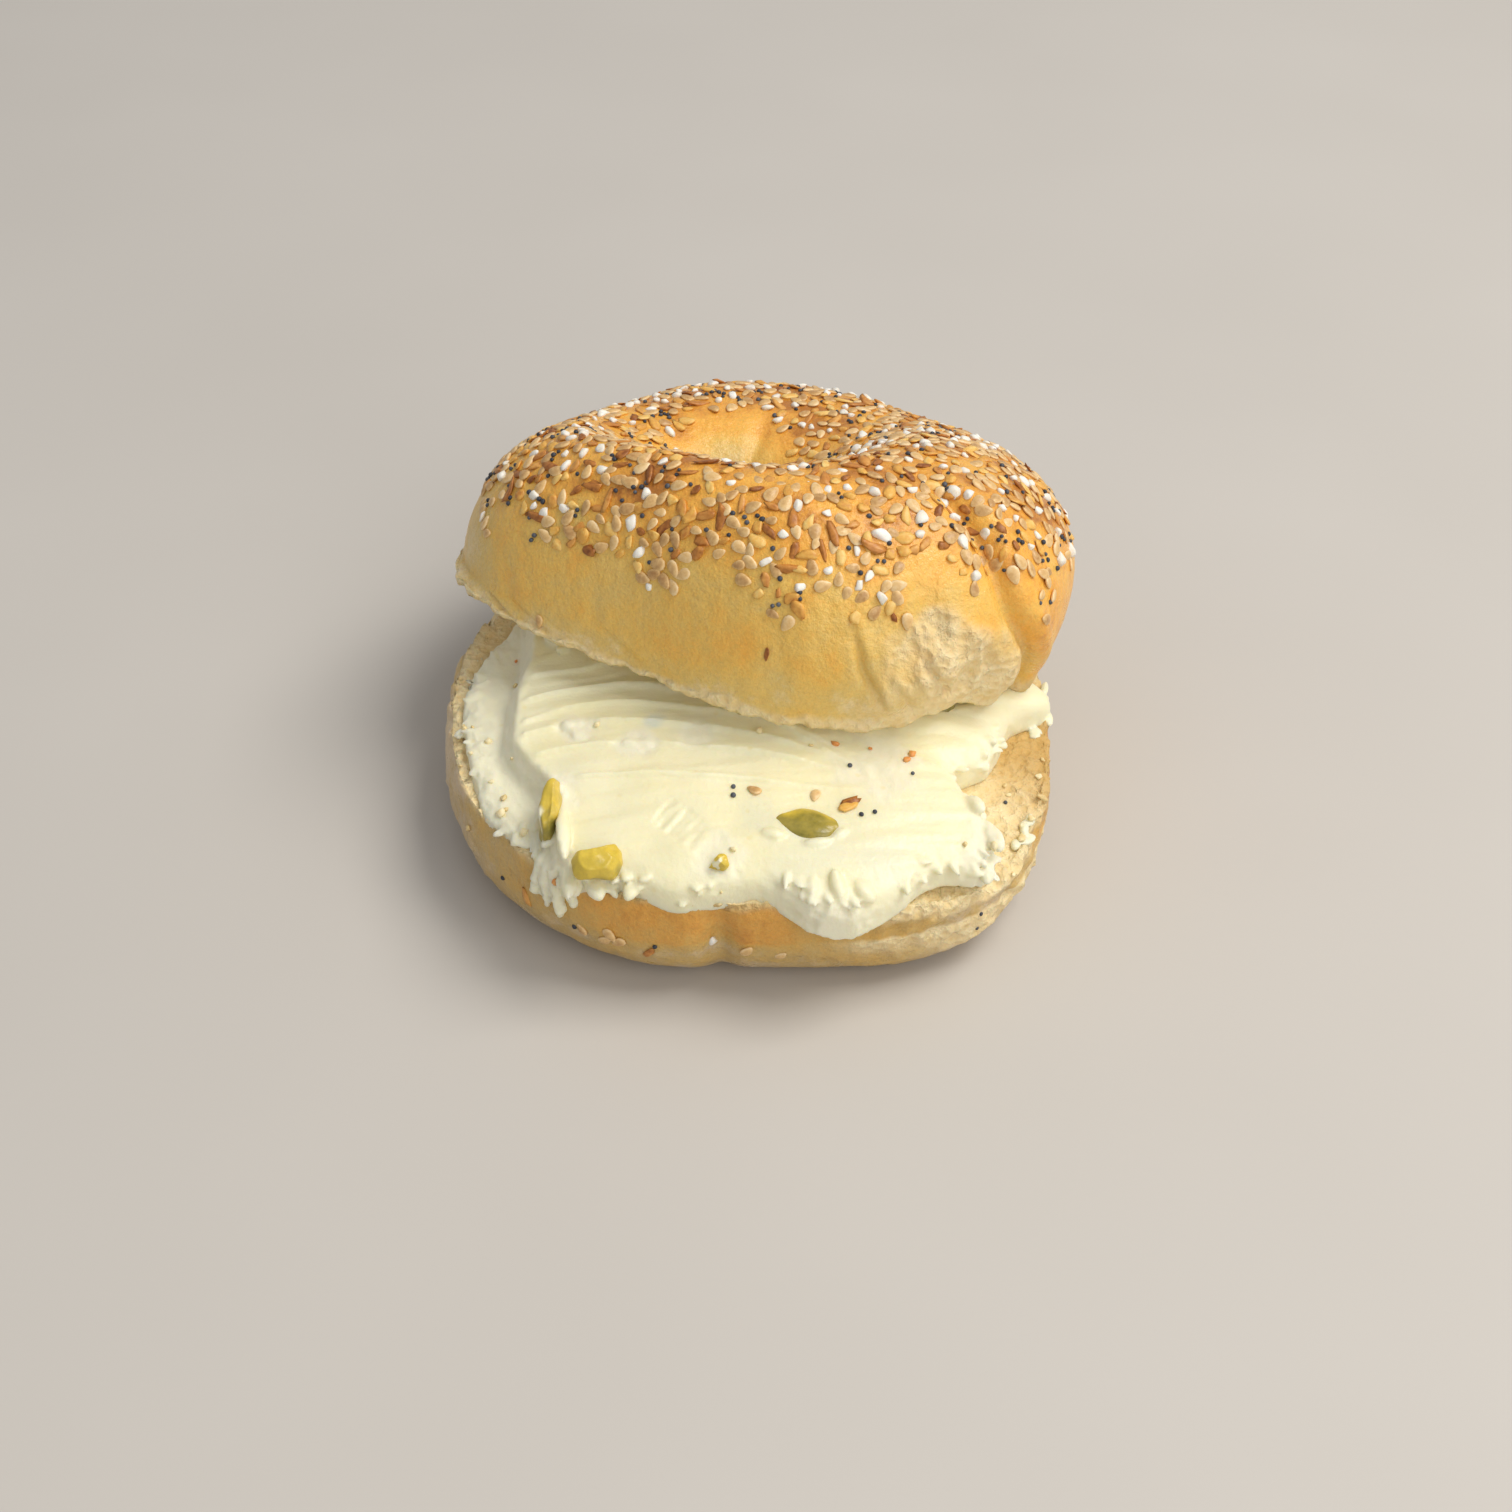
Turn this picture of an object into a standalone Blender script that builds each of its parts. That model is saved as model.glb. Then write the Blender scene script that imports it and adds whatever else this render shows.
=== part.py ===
# A seeded bagel, sliced unevenly, spread with cream cheese and closed with its top half pushed back.
# Metres, +Z up. Directions round a ring are in degrees: 0 is right (+X), 90 the back (+Y), -90 the front.

import math
import random

import bpy
from mathutils import Euler, Matrix, Vector, noise

GAP = 0.0003  # air left between two pieces that touch
COLLECTION = "bagel_sandwich"
STAND_AT = Vector((-0.0008, -0.0024, 0.0))  # brings the middle of the whole over the origin

# Heel: the lower half, cut side up, standing on its flat base.
HEEL_AT = Vector((-0.0015, -0.0105, 0.0))
HEEL_HALF_WIDTH = 0.0563
HEEL_HALF_DEPTH = 0.0546
HEEL_SQUARENESS = 2.45
HEEL_THICK = 0.0215
HEEL_WIDEST_AT = 0.0135  # height of the widest line above the base
HEEL_HOLE = 0.0095
HEEL_BASE_INSET = 0.0125  # from the widest line in to the edge of the flat base
HEEL_RIM_WIDTH = 0.0015  # from the widest line in to the edge of the cut
HEEL_HOLE_FLARE = 0.0060
HEEL_BUMPS = (  # direction, spread in degrees, rise of the outline
    (-52.0, 20.0, 0.0035),
    (-140.0, 26.0, -0.0020),
    (-112.0, 20.0, 0.0010),
)
HEEL_FOLD_DIRECTION = -95.0  # where the two ends of the dough rope meet at the front
HEEL_FOLD_DEPTH = 0.0032
HEEL_FOLD_SPREAD = 4.0
HEEL_TORN_DIRECTION = -44.0  # the torn shoulder at the front right
HEEL_TORN_SPREAD = 27.0
HEEL_TORN_DROP = 0.0035
HEEL_TORN_INWARD = 0.33  # share of the cut face over which it rises again
HEEL_SEGMENTS = 68
HEEL_STEPS = {"rim": 2, "face": 4, "hole": 3, "base": 2, "side": 5}

# Crown: the upper half, thicker at the front right, modelled on its own flat cut face.
CROWN_AT = Vector((0.0005, 0.0180, 0.0302))
CROWN_SLOPE = (-0.115, -0.120)  # rise of the cut face per metre to the right and to the back
CROWN_HALF_WIDTH = 0.0590
CROWN_HALF_DEPTH = 0.0570
CROWN_SQUARENESS = 2.15
CROWN_BUMPS = (
    (-122.0, 30.0, -0.0125),
    (-148.0, 18.0, -0.0025),
    (-45.0, 22.0, 0.0030),
    (38.0, 38.0, -0.0070),
    (140.0, 38.0, -0.0060),
)
CROWN_CREST = 0.0317  # mean height of the crest above the cut face
CROWN_CREST_RISE = 0.0083  # how much higher it is towards its thick side
CROWN_CREST_BUMPS = ((32.0, 34.0, -0.0035), (145.0, 36.0, -0.0030), (-105.0, 38.0, -0.0022))
CROWN_SLANT_SIDE = 175.0  # where the outside slants in from the lip instead of bulging
CROWN_SLANT_SPREAD = 45.0
CROWN_SLANT = 0.45
CROWN_THICK_SIDE = -68.0
CROWN_LEAN = 0.03  # sideways shift per height of the whole ring, away from its thick side
CROWN_WIDEST = 0.0075  # mean height of the widest line
CROWN_WIDEST_RISE = 0.0075
CROWN_WIDEST_SIDE = -30.0
CROWN_LOWER_HALF = 0.0260  # how far the whole bagel reaches below its widest line
CROWN_HOLE = 0.0125
CROWN_HOLE_FLARE = 0.0015  # how much wider it is at the cut
CROWN_HOLE_OFF = Vector((-0.0085, -0.0030, 0.0))  # the hole stands off the middle
CROWN_HOLE_NECK = 0.0090  # height of the narrowest part of the hole
CROWN_CREST_SHARE = 0.48  # where the crest stands between the hole and the outside
CROWN_SEAM_DIRECTION = -35.5  # at the cut edge: where the dough rope's end was pressed down
CROWN_SEAM_TURN = -12.0  # how far it winds to the left on its way up
CROWN_SEAM_TURN_HEIGHT = 0.65  # share of the crest's height by which it has done so
CROWN_SEAM_TURN_SPREAD = 32.0
CROWN_SEAM_DEPTH = 0.0020
CROWN_SEAM_WIDTH = 3.4  # degrees
CROWN_SEAM_STEP = 0.0017  # the rope's end stands this much over its neighbour
CROWN_SEAM_STEP_LENGTH = 22.0  # degrees over which that fades
CROWN_SEAM_FADES = (0.65, 1.0)  # between these shares of the way up
CROWN_TORN_DIRECTION = -56.0
CROWN_TORN_SPREAD = 13.0
CROWN_TORN_DEPTH = 0.0028
CROWN_TORN_LUMP = 0.0085
CROWN_TORN_SINK = 0.15  # share of its depth by which the torn place lies lower
CROWN_TORN_FADES = (0.15, 0.55)
CROWN_BITE_DIRECTION = -53.0  # where the lip is torn and stands higher than the cut face
CROWN_BITE_SPREAD = 8.0
CROWN_BITE = 0.0032
CROWN_SEGMENTS = 72
CROWN_STEPS = {"outer": 6, "inner": 6, "hole": 2, "face": 4, "skirt": 3}

DOUGH_ROLL = 0.0011  # slow unevenness of the baked surface
DOUGH_ROLL_LENGTH = 0.024
NOISE_OF = {"crown": 3.0, "torn": 9.0, "heel": 11.0, "cream": 5.0, "olive": 7.0}  # where each noise starts

# Cream cheese: a thick spread that reaches over the rim at the front.
CREAM_REACH = 0.0480
CREAM_THICK = 0.0098
CREAM_EDGE_THICK = 0.0014
CREAM_SAG = 0.0040  # how far it hangs into the heel's hole and over the rim
CREAM_BUMPS = (
    (-170.0, 24.0, 0.0025),
    (-140.0, 18.0, 0.0072),
    (-121.0, 7.0, 0.0050),
    (-104.0, 14.0, 0.0075),
    (-68.0, 17.0, 0.0120),
    (-47.5, 8.0, 0.0110),
    (-77.0, 6.0, 0.0030),
    (-36.0, 6.0, -0.0050),
    (-3.0, 6.0, 0.0080),
)
CREAM_ROLL = 0.0009
CREAM_ROLL_LENGTH = 0.016
CREAM_OVER = 0.0040  # it starts to droop this far inside the heel's rim
CREAM_DROOP = 0.6  # and sinks this much for each metre it reaches out
CREAM_LEAST = 0.0010
CREAM_SHOULDER_X = -0.0415  # left of this line the spread falls away
CREAM_SHOULDER_WIDTH = 0.0050
CREAM_SHOULDER_DROP = 0.0038
CREAM_UNDER_CROWN = 0.0050  # it stands this much higher where the crown covers it
CREAM_UNDER_FROM = 0.0020  # rising between these distances in from the crown's edge
CREAM_UNDER_TO = 0.0160
CREAM_UNDER_MARGIN = 0.0030  # it is kept below the cut this far outside the crown too
CREAM_UNDER_GAP = 1.2 * GAP
CREAM_SEGMENTS = 60
CREAM_RINGS = 18

# Olive pieces: middle, size along, across and through, turn in degrees, boxiness.
OLIVES = {
    "olive_tall": ((-0.0348, -0.0485, 0.0277), (0.0044, 0.0110, 0.0103), (20.0, 0.0, -10.0), 3.2),
    "olive_front_left": ((-0.0266, -0.0600, 0.0268), (0.0076, 0.0068, 0.0082), (30.0, -8.0, 12.0), 4.0),
    "olive_middle": ((0.0083, -0.0522, 0.0287), (0.0122, 0.0068, 0.0050), (3.0, 2.0, -8.0), 2.6),
    "olive_small": ((-0.0063, -0.0608, 0.0275), (0.0034, 0.0028, 0.0044), (30.0, 0.0, 20.0), 2.8),
    "olive_back": ((0.0333, -0.0228, 0.0300), (0.0044, 0.0042, 0.0046), (0.0, 20.0, 30.0), 2.6),
}
OLIVE_SIDES = 10
OLIVE_RINGS = 7
OLIVE_UNEVEN = 0.10
OLIVE_UNEVEN_LENGTH = 1.1  # in half-widths of the piece

# Seeds, salt and toasted onion on the crown: the larger pieces only, spread evenly.
BITS = {  # size along, across and through, how many
    "onion": ((0.0040, 0.0028, 0.0014), 42),
    "salt": ((0.0021, 0.0020, 0.0018), 40),
    "sesame": ((0.0032, 0.0021, 0.0014), 61),
}
BITS_APART = 0.0047
FACING_UP = 0.5  # least upward share of a normal where a bit lies on the cream
BIT_SINK = 0.20  # share of its thickness by which a bit's middle lies in the crust
BIT_TRIES = 6000
SESAME_TAPER = 0.7
GRAIN_UNEVEN = 0.22
SEEDS_FROM = 0.42  # share of the way up the outside where the seeds begin
SEEDS_FROM_LOWER = 0.25  # and how much lower they begin on the right
SEEDS_LOWER_SIDE = -12.0
SEEDS_LOWER_SPREAD = 30.0
SEEDS_DOWN_THE_HOLE = 0.55
SEEDS_OFF_THE_SEAM = 5.0  # degrees past the seam that stay bare
SEEDED_TURN = 0.6  # the outside and the inside of the ring lie within this turn
SEED_RADIUS = 0.062
RANDOM_START = 7
CREAM_BITS = (  # what, where on the cream
    ("sesame", 0.0, -0.0445),
    ("sesame", 0.0105, -0.0455),
    ("onion", 0.0165, -0.0470),
)


def bump(angle, centre, spread):
    """A smooth hump of 1 at one direction of a ring, falling to nothing a few spreads away."""
    off = (angle - centre + 180.0) % 360.0 - 180.0
    return math.exp(-((off / spread) ** 2))


def outline(angle, half_width, half_depth, squareness, bumps):
    """Radius of a rounded square with local rises and hollows."""
    across = abs(math.cos(math.radians(angle))) / half_width
    along = abs(math.sin(math.radians(angle))) / half_depth
    radius = (across**squareness + along**squareness) ** (-1.0 / squareness)
    return radius + sum(rise * bump(angle, centre, spread) for centre, spread, rise in bumps)


def waves(point, length, seed):
    """Smooth noise from -1 to 1 whose hills are about one length apart."""
    return noise.noise(Vector(point) / length + Vector((seed, 0.37 * seed, 1.7 * seed)))


def smooth(low, high, value):
    """0 below low, 1 above high, and an even bend between."""
    share = min(1.0, max(0.0, (value - low) / (high - low)))
    return share * share * (3.0 - 2.0 * share)


def stretch_of(turn, steps):
    """Which stretch of a section a turn from 0 to 1 falls on, and how far along it."""
    step = turn * sum(steps.values())
    for name, count in steps.items():
        if step < count:
            return name, step / count
        step -= count
    return next(iter(steps)), 0.0


def crown_reach(angle):
    return outline(angle, CROWN_HALF_WIDTH, CROWN_HALF_DEPTH, CROWN_SQUARENESS, CROWN_BUMPS)


def crown_section(angle, turn):
    """(radius, height) on the crown's section: over the crest, down the hole, out along the cut."""
    reach = crown_reach(angle)
    crest_r = CROWN_HOLE + CROWN_CREST_SHARE * (reach - CROWN_HOLE)
    crest_z = CROWN_CREST + CROWN_CREST_RISE * math.cos(math.radians(angle - CROWN_THICK_SIDE))
    crest_z += sum(rise * bump(angle, centre, spread) for centre, spread, rise in CROWN_CREST_BUMPS)
    widest = CROWN_WIDEST + CROWN_WIDEST_RISE * math.cos(math.radians(angle - CROWN_WIDEST_SIDE))
    foot = crest_r + (reach - crest_r) * math.sqrt(1.0 - (widest / CROWN_LOWER_HALF) ** 2)
    hole_foot = CROWN_HOLE + CROWN_HOLE_FLARE
    bite = CROWN_BITE * bump(angle, CROWN_BITE_DIRECTION, CROWN_BITE_SPREAD)
    stretch, share = stretch_of(turn, CROWN_STEPS)
    rise = math.sin(share * math.pi / 2.0)
    run = math.cos(share * math.pi / 2.0)
    if stretch == "outer":
        slant = 1.0 + CROWN_SLANT * bump(angle, CROWN_SLANT_SIDE, CROWN_SLANT_SPREAD)
        return crest_r + (reach - crest_r) * run**slant, widest + (crest_z - widest) * rise
    if stretch == "inner":
        return (
            crest_r - (crest_r - CROWN_HOLE) * rise,
            CROWN_HOLE_NECK + (crest_z - CROWN_HOLE_NECK) * run,
        )
    if stretch == "hole":
        return CROWN_HOLE + (hole_foot - CROWN_HOLE) * share, CROWN_HOLE_NECK * (1.0 - share)
    if stretch == "face":
        return hole_foot + (foot - hole_foot) * share, bite * share**3
    return foot + (reach - foot) * rise, bite + (widest - bite) * share


def crown_rough(angle, turn, flat):
    """How far the baked surface stands out from the plain section, and in which direction."""
    stretch, share = stretch_of(turn, CROWN_STEPS)
    turned = math.radians(angle)
    outward = Vector((math.cos(turned), math.sin(turned), 0.0))
    if stretch not in ("outer", "inner", "skirt"):
        return Vector()
    bend = share * math.pi / 2.0
    if stretch == "outer":
        facing = outward * math.cos(bend) + Vector((0.0, 0.0, math.sin(bend)))
    elif stretch == "inner":
        facing = outward * -math.sin(bend) + Vector((0.0, 0.0, math.cos(bend)))
    else:
        facing = outward
    outside = {"outer": 1.0, "inner": 1.0 - share, "skirt": share}[stretch]
    fading = {"outer": 1.0 - smooth(*CROWN_SEAM_FADES, share), "inner": 0.0, "skirt": 1.0}[stretch]
    past = (angle - CROWN_SEAM_DIRECTION + 180.0) % 360.0 - 180.0
    step = CROWN_SEAM_STEP * math.exp(-past / CROWN_SEAM_STEP_LENGTH) if past > 0.0 else 0.0
    seam = step - CROWN_SEAM_DEPTH * bump(angle, CROWN_SEAM_DIRECTION, CROWN_SEAM_WIDTH)
    low = {"outer": 1.0 - smooth(*CROWN_TORN_FADES, share), "inner": 0.0, "skirt": 1.0}[stretch]
    torn = low * bump(angle, CROWN_TORN_DIRECTION, CROWN_TORN_SPREAD)
    rough = DOUGH_ROLL * waves(flat, DOUGH_ROLL_LENGTH, NOISE_OF["crown"]) * outside
    rough += fading * seam
    rough += torn * CROWN_TORN_DEPTH * (waves(flat, CROWN_TORN_LUMP, NOISE_OF["torn"]) - CROWN_TORN_SINK)
    return facing * rough


def crown_point(angle, turn):
    """A point of the crown, standing on its cut face."""
    lifted = crown_section(angle, turn)[1] / (CROWN_CREST + CROWN_CREST_RISE)
    near = bump(angle, CROWN_SEAM_DIRECTION, CROWN_SEAM_TURN_SPREAD)
    wound = angle + CROWN_SEAM_TURN * smooth(0.0, CROWN_SEAM_TURN_HEIGHT, lifted) * near
    radius, height = crown_section(wound, turn)
    turned = math.radians(wound)
    flat = Vector((radius * math.cos(turned), radius * math.sin(turned), height))
    point = flat + crown_rough(angle, turn, flat)
    thick = math.radians(CROWN_THICK_SIDE)
    lean = Vector((-math.cos(thick), -math.sin(thick), 0.0)) * CROWN_LEAN * point.z
    return point + lean + CROWN_HOLE_OFF * (1.0 - radius / crown_reach(wound))


def crown_normal(angle, turn):
    aside = 1.0
    ahead = 0.006
    along = crown_point(angle + aside, turn) - crown_point(angle - aside, turn)
    up = crown_point(angle, turn + ahead) - crown_point(angle, turn - ahead)
    return along.cross(up).normalized()


def crown_turn():
    """The crown's own frame, placed and sloped over the cream."""
    normal = Vector((-CROWN_SLOPE[0], -CROWN_SLOPE[1], 1.0)).normalized()
    tilt = Vector((0.0, 0.0, 1.0)).rotation_difference(normal)
    return Matrix.Translation(CROWN_AT) @ tilt.to_matrix().to_4x4()


def crown_cut_height(x, y):
    """Height of the crown's cut face over a place on the ground."""
    return CROWN_AT.z + CROWN_SLOPE[0] * (x - CROWN_AT.x) + CROWN_SLOPE[1] * (y - CROWN_AT.y)


def heel_reach(angle):
    return outline(angle, HEEL_HALF_WIDTH, HEEL_HALF_DEPTH, HEEL_SQUARENESS, HEEL_BUMPS)


def heel_section(angle, turn):
    """(radius, height) on the heel's section: up the rim, in along the cut, down the hole, out."""
    reach = heel_reach(angle)
    base_edge = reach - HEEL_BASE_INSET
    hole_foot = HEEL_HOLE + HEEL_HOLE_FLARE
    rim = reach - HEEL_RIM_WIDTH
    top = HEEL_THICK - HEEL_TORN_DROP * bump(angle, HEEL_TORN_DIRECTION, HEEL_TORN_SPREAD)
    stretch, share = stretch_of(turn, HEEL_STEPS)
    rise = math.sin(share * math.pi / 2.0)
    run = math.cos(share * math.pi / 2.0)
    if stretch == "rim":
        return rim + (reach - rim) * run, HEEL_WIDEST_AT + (top - HEEL_WIDEST_AT) * rise
    if stretch == "face":
        return rim + (HEEL_HOLE - rim) * share, top + (HEEL_THICK - top) * min(1.0, share / HEEL_TORN_INWARD)
    if stretch == "hole":
        return HEEL_HOLE + HEEL_HOLE_FLARE * (1.0 - run), HEEL_THICK * (1.0 - rise)
    if stretch == "base":
        return hole_foot + (base_edge - hole_foot) * share, 0.0
    return base_edge + HEEL_BASE_INSET * rise, HEEL_WIDEST_AT * (1.0 - run)


def heel_point(angle, turn):
    """A point of the heel, standing on its base."""
    radius, height = heel_section(angle, turn)
    stretch, share = stretch_of(turn, HEEL_STEPS)
    turned = math.radians(angle)
    flat = Vector((radius * math.cos(turned), radius * math.sin(turned), height))
    outward = Vector((math.cos(turned), math.sin(turned), 0.0))
    outside = {"rim": 1.0 - share, "side": share}.get(stretch, 0.0)
    rough = DOUGH_ROLL * waves(flat, DOUGH_ROLL_LENGTH, NOISE_OF["heel"])
    rough -= bump(angle, HEEL_FOLD_DIRECTION, HEEL_FOLD_SPREAD) * HEEL_FOLD_DEPTH
    return flat + outward * rough * outside


def cream_point(angle, up):
    """A point of the spread: up runs from 1 at the middle of its top to -1 under the middle."""
    reach = CREAM_REACH + sum(rise * bump(angle, centre, spread) for centre, spread, rise in CREAM_BUMPS)
    polar = abs(up)
    share = math.sqrt(1.0 - polar * polar)
    turned = math.radians(angle)
    x = HEEL_AT.x + reach * share * math.cos(turned)
    y = HEEL_AT.y + reach * share * math.sin(turned)
    over = max(0.0, reach - (heel_reach(angle) - CREAM_OVER))
    edge = HEEL_THICK + CREAM_EDGE_THICK - CREAM_DROOP * over
    if up < 0.0:
        low = HEEL_THICK - CREAM_SAG
        return Vector((x, y, edge + (min(low, edge - CREAM_LEAST) - edge) * math.sqrt(polar)))
    top = HEEL_THICK + CREAM_THICK
    top += CREAM_ROLL * waves((x, y, 0.0), CREAM_ROLL_LENGTH, NOISE_OF["cream"])
    top -= CREAM_SHOULDER_DROP * smooth(0.0, CREAM_SHOULDER_WIDTH, CREAM_SHOULDER_X - x)
    off = Vector((x - CROWN_AT.x, y - CROWN_AT.y, 0.0))
    inside = crown_reach(math.degrees(math.atan2(off.y, off.x))) - off.length
    top += CREAM_UNDER_CROWN * smooth(CREAM_UNDER_FROM, CREAM_UNDER_TO, inside)
    height = edge + (top - edge) * math.sqrt(polar)
    if inside > -CREAM_UNDER_MARGIN:
        height = min(height, crown_cut_height(x, y) - CREAM_UNDER_GAP)
    return Vector((x, y, height))


def ring(name, segments, steps, point_at, first_direction):
    """A closed ring: a torus whose points are moved onto a section that changes with direction."""
    bpy.ops.mesh.primitive_torus_add(
        major_segments=segments,
        minor_segments=sum(steps.values()),
        major_radius=1.0,
        minor_radius=0.4,
    )
    made = bpy.context.object
    made.name = name
    made.data.name = name
    for vertex in made.data.vertices:
        x, y, z = vertex.co
        angle = math.degrees(math.atan2(y, x)) + first_direction
        around = math.atan2(z, math.hypot(x, y) - 1.0) / (2.0 * math.pi)
        turn = round((around % 1.0) * sum(steps.values())) / sum(steps.values())
        vertex.co = point_at((angle + 180.0) % 360.0 - 180.0, turn % 1.0)
    return made


def spread_of_cream(name):
    """The cream cheese before anything is pressed into it: a ball drawn out over the heel."""
    bpy.ops.mesh.primitive_uv_sphere_add(segments=CREAM_SEGMENTS, ring_count=CREAM_RINGS, radius=1.0)
    made = bpy.context.object
    made.name = name
    for vertex in made.data.vertices:
        x, y, z = vertex.co
        vertex.co = cream_point(math.degrees(math.atan2(y, x)), max(-1.0, min(1.0, z)))
    return made


def chunk(name, middle, size, turn, boxiness):
    """A cut piece of olive: a ball drawn out towards a rounded box."""
    bpy.ops.mesh.primitive_uv_sphere_add(segments=OLIVE_SIDES, ring_count=OLIVE_RINGS, radius=1.0)
    made = bpy.context.object
    made.name = name
    made.data.name = name
    turned = Matrix.Translation(middle) @ Euler([math.radians(a) for a in turn]).to_matrix().to_4x4()
    start = NOISE_OF["olive"] + middle[0] / size[0]  # a shape of its own for each piece
    for vertex in made.data.vertices:
        point = vertex.co.copy()
        bulge = sum(abs(axis) ** boxiness for axis in point) ** (-1.0 / boxiness)
        bulge *= 1.0 + OLIVE_UNEVEN * waves(point, OLIVE_UNEVEN_LENGTH, start)
        vertex.co = turned @ Vector([0.5 * length * axis * bulge for length, axis in zip(size, point)])
    return made


def bit(kind, place, draw):
    """One seed, salt grain or onion flake with its middle at a place."""
    if kind == "sesame":
        bpy.ops.mesh.primitive_uv_sphere_add(segments=6, ring_count=3, radius=0.5)
    else:
        bpy.ops.mesh.primitive_ico_sphere_add(subdivisions=1, radius=0.5)
    made = bpy.context.object
    made.name = "bit_" + kind
    size = BITS[kind][0]
    for vertex in made.data.vertices:
        point = vertex.co.copy()
        if kind == "sesame":
            point.y *= 1.0 - SESAME_TAPER * point.x
        else:
            point *= 1.0 + GRAIN_UNEVEN * (draw.random() - 0.5)
        vertex.co = Vector([axis * length for axis, length in zip(point, size)])
    made.matrix_world = place
    return made


def lie_on(point, normal, spin, sink):
    """A frame whose Z stands on a surface, turned by an angle and let in a little."""
    turn = Vector((0.0, 0.0, 1.0)).rotation_difference(normal).to_matrix().to_4x4()
    return Matrix.Translation(point - normal * sink) @ turn @ Matrix.Rotation(spin, 4, "Z")


def seeded(angle, turn):
    """Whether seeds stuck here: over the crest, further down the right side, not on the bare sides."""
    stretch, share = stretch_of(turn, CROWN_STEPS)
    right = bump(angle, SEEDS_LOWER_SIDE, SEEDS_LOWER_SPREAD)
    if 0.0 <= angle - CROWN_SEAM_DIRECTION < SEEDS_OFF_THE_SEAM:
        return False
    if stretch == "outer":
        return share > SEEDS_FROM - SEEDS_FROM_LOWER * right
    return stretch == "inner" and share < SEEDS_DOWN_THE_HOLE


def crown_bits(draw):
    """The larger pieces on the crown, each far enough from the ones before it."""
    taken = []
    made = []
    frame = crown_turn()
    for kind, (size, count) in BITS.items():
        tries = 0
        placed = 0
        while placed < count and tries < BIT_TRIES:
            tries += 1
            angle = draw.uniform(-180.0, 180.0)
            turn = draw.uniform(0.0, SEEDED_TURN)
            if draw.random() > crown_section(angle, turn)[0] / SEED_RADIUS or not seeded(angle, turn):
                continue
            point = crown_point(angle, turn)
            if any((point - other).length < BITS_APART for other in taken):
                continue
            taken.append(point)
            placed += 1
            spin = draw.uniform(0.0, 2.0 * math.pi)
            place = lie_on(point, crown_normal(angle, turn), spin, BIT_SINK * size[2])
            made.append(bit(kind, frame @ place, draw))
    return made


def move_to(collection, objects):
    for item in objects:
        for old in list(item.users_collection):
            old.objects.unlink(item)
        collection.objects.link(item)


def cut(piece, cutter, amount):
    """Take a piece's neighbour out of it, with the gap between them left free."""
    copy = cutter.copy()
    copy.data = cutter.data.copy()
    bpy.context.scene.collection.objects.link(copy)
    for vertex in copy.data.vertices:
        vertex.co += vertex.normal * amount
    taken = piece.modifiers.new("cut", "BOOLEAN")
    taken.operation = "DIFFERENCE"
    taken.object = copy
    taken.solver = "EXACT"
    bake(piece)
    bpy.data.objects.remove(copy)


def join(piece, objects):
    """Join everything in a list to a piece with one union."""
    if not objects:
        return
    group = bpy.data.collections.new("joined")
    bpy.context.scene.collection.children.link(group)
    move_to(group, objects)
    union = piece.modifiers.new("join", "BOOLEAN")
    union.operation = "UNION"
    union.operand_type = "COLLECTION"
    union.collection = group
    union.solver = "MANIFOLD"
    bake(piece)
    for item in list(group.objects):
        bpy.data.objects.remove(item)
    bpy.data.collections.remove(group)


def bake(piece):
    """Apply a piece's modifiers."""
    bpy.context.view_layer.update()
    worked = piece.evaluated_get(bpy.context.evaluated_depsgraph_get())
    mesh = bpy.data.meshes.new_from_object(worked)
    mesh.name = piece.name
    piece.modifiers.clear()
    piece.data = mesh


def settle(piece, matrix=None):
    """Put a piece's own placement into its points."""
    piece.data.transform(matrix or piece.matrix_world)
    piece.matrix_world = Matrix.Identity(4)
    piece.data.update()


def material(name, colour, roughness):
    made = bpy.data.materials.new(name)
    made.use_nodes = True
    shader = made.node_tree.nodes["Principled BSDF"]
    shader.inputs["Base Color"].default_value = (*colour, 1.0)
    shader.inputs["Roughness"].default_value = roughness
    shader.inputs["Metallic"].default_value = 0.0
    return made


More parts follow.
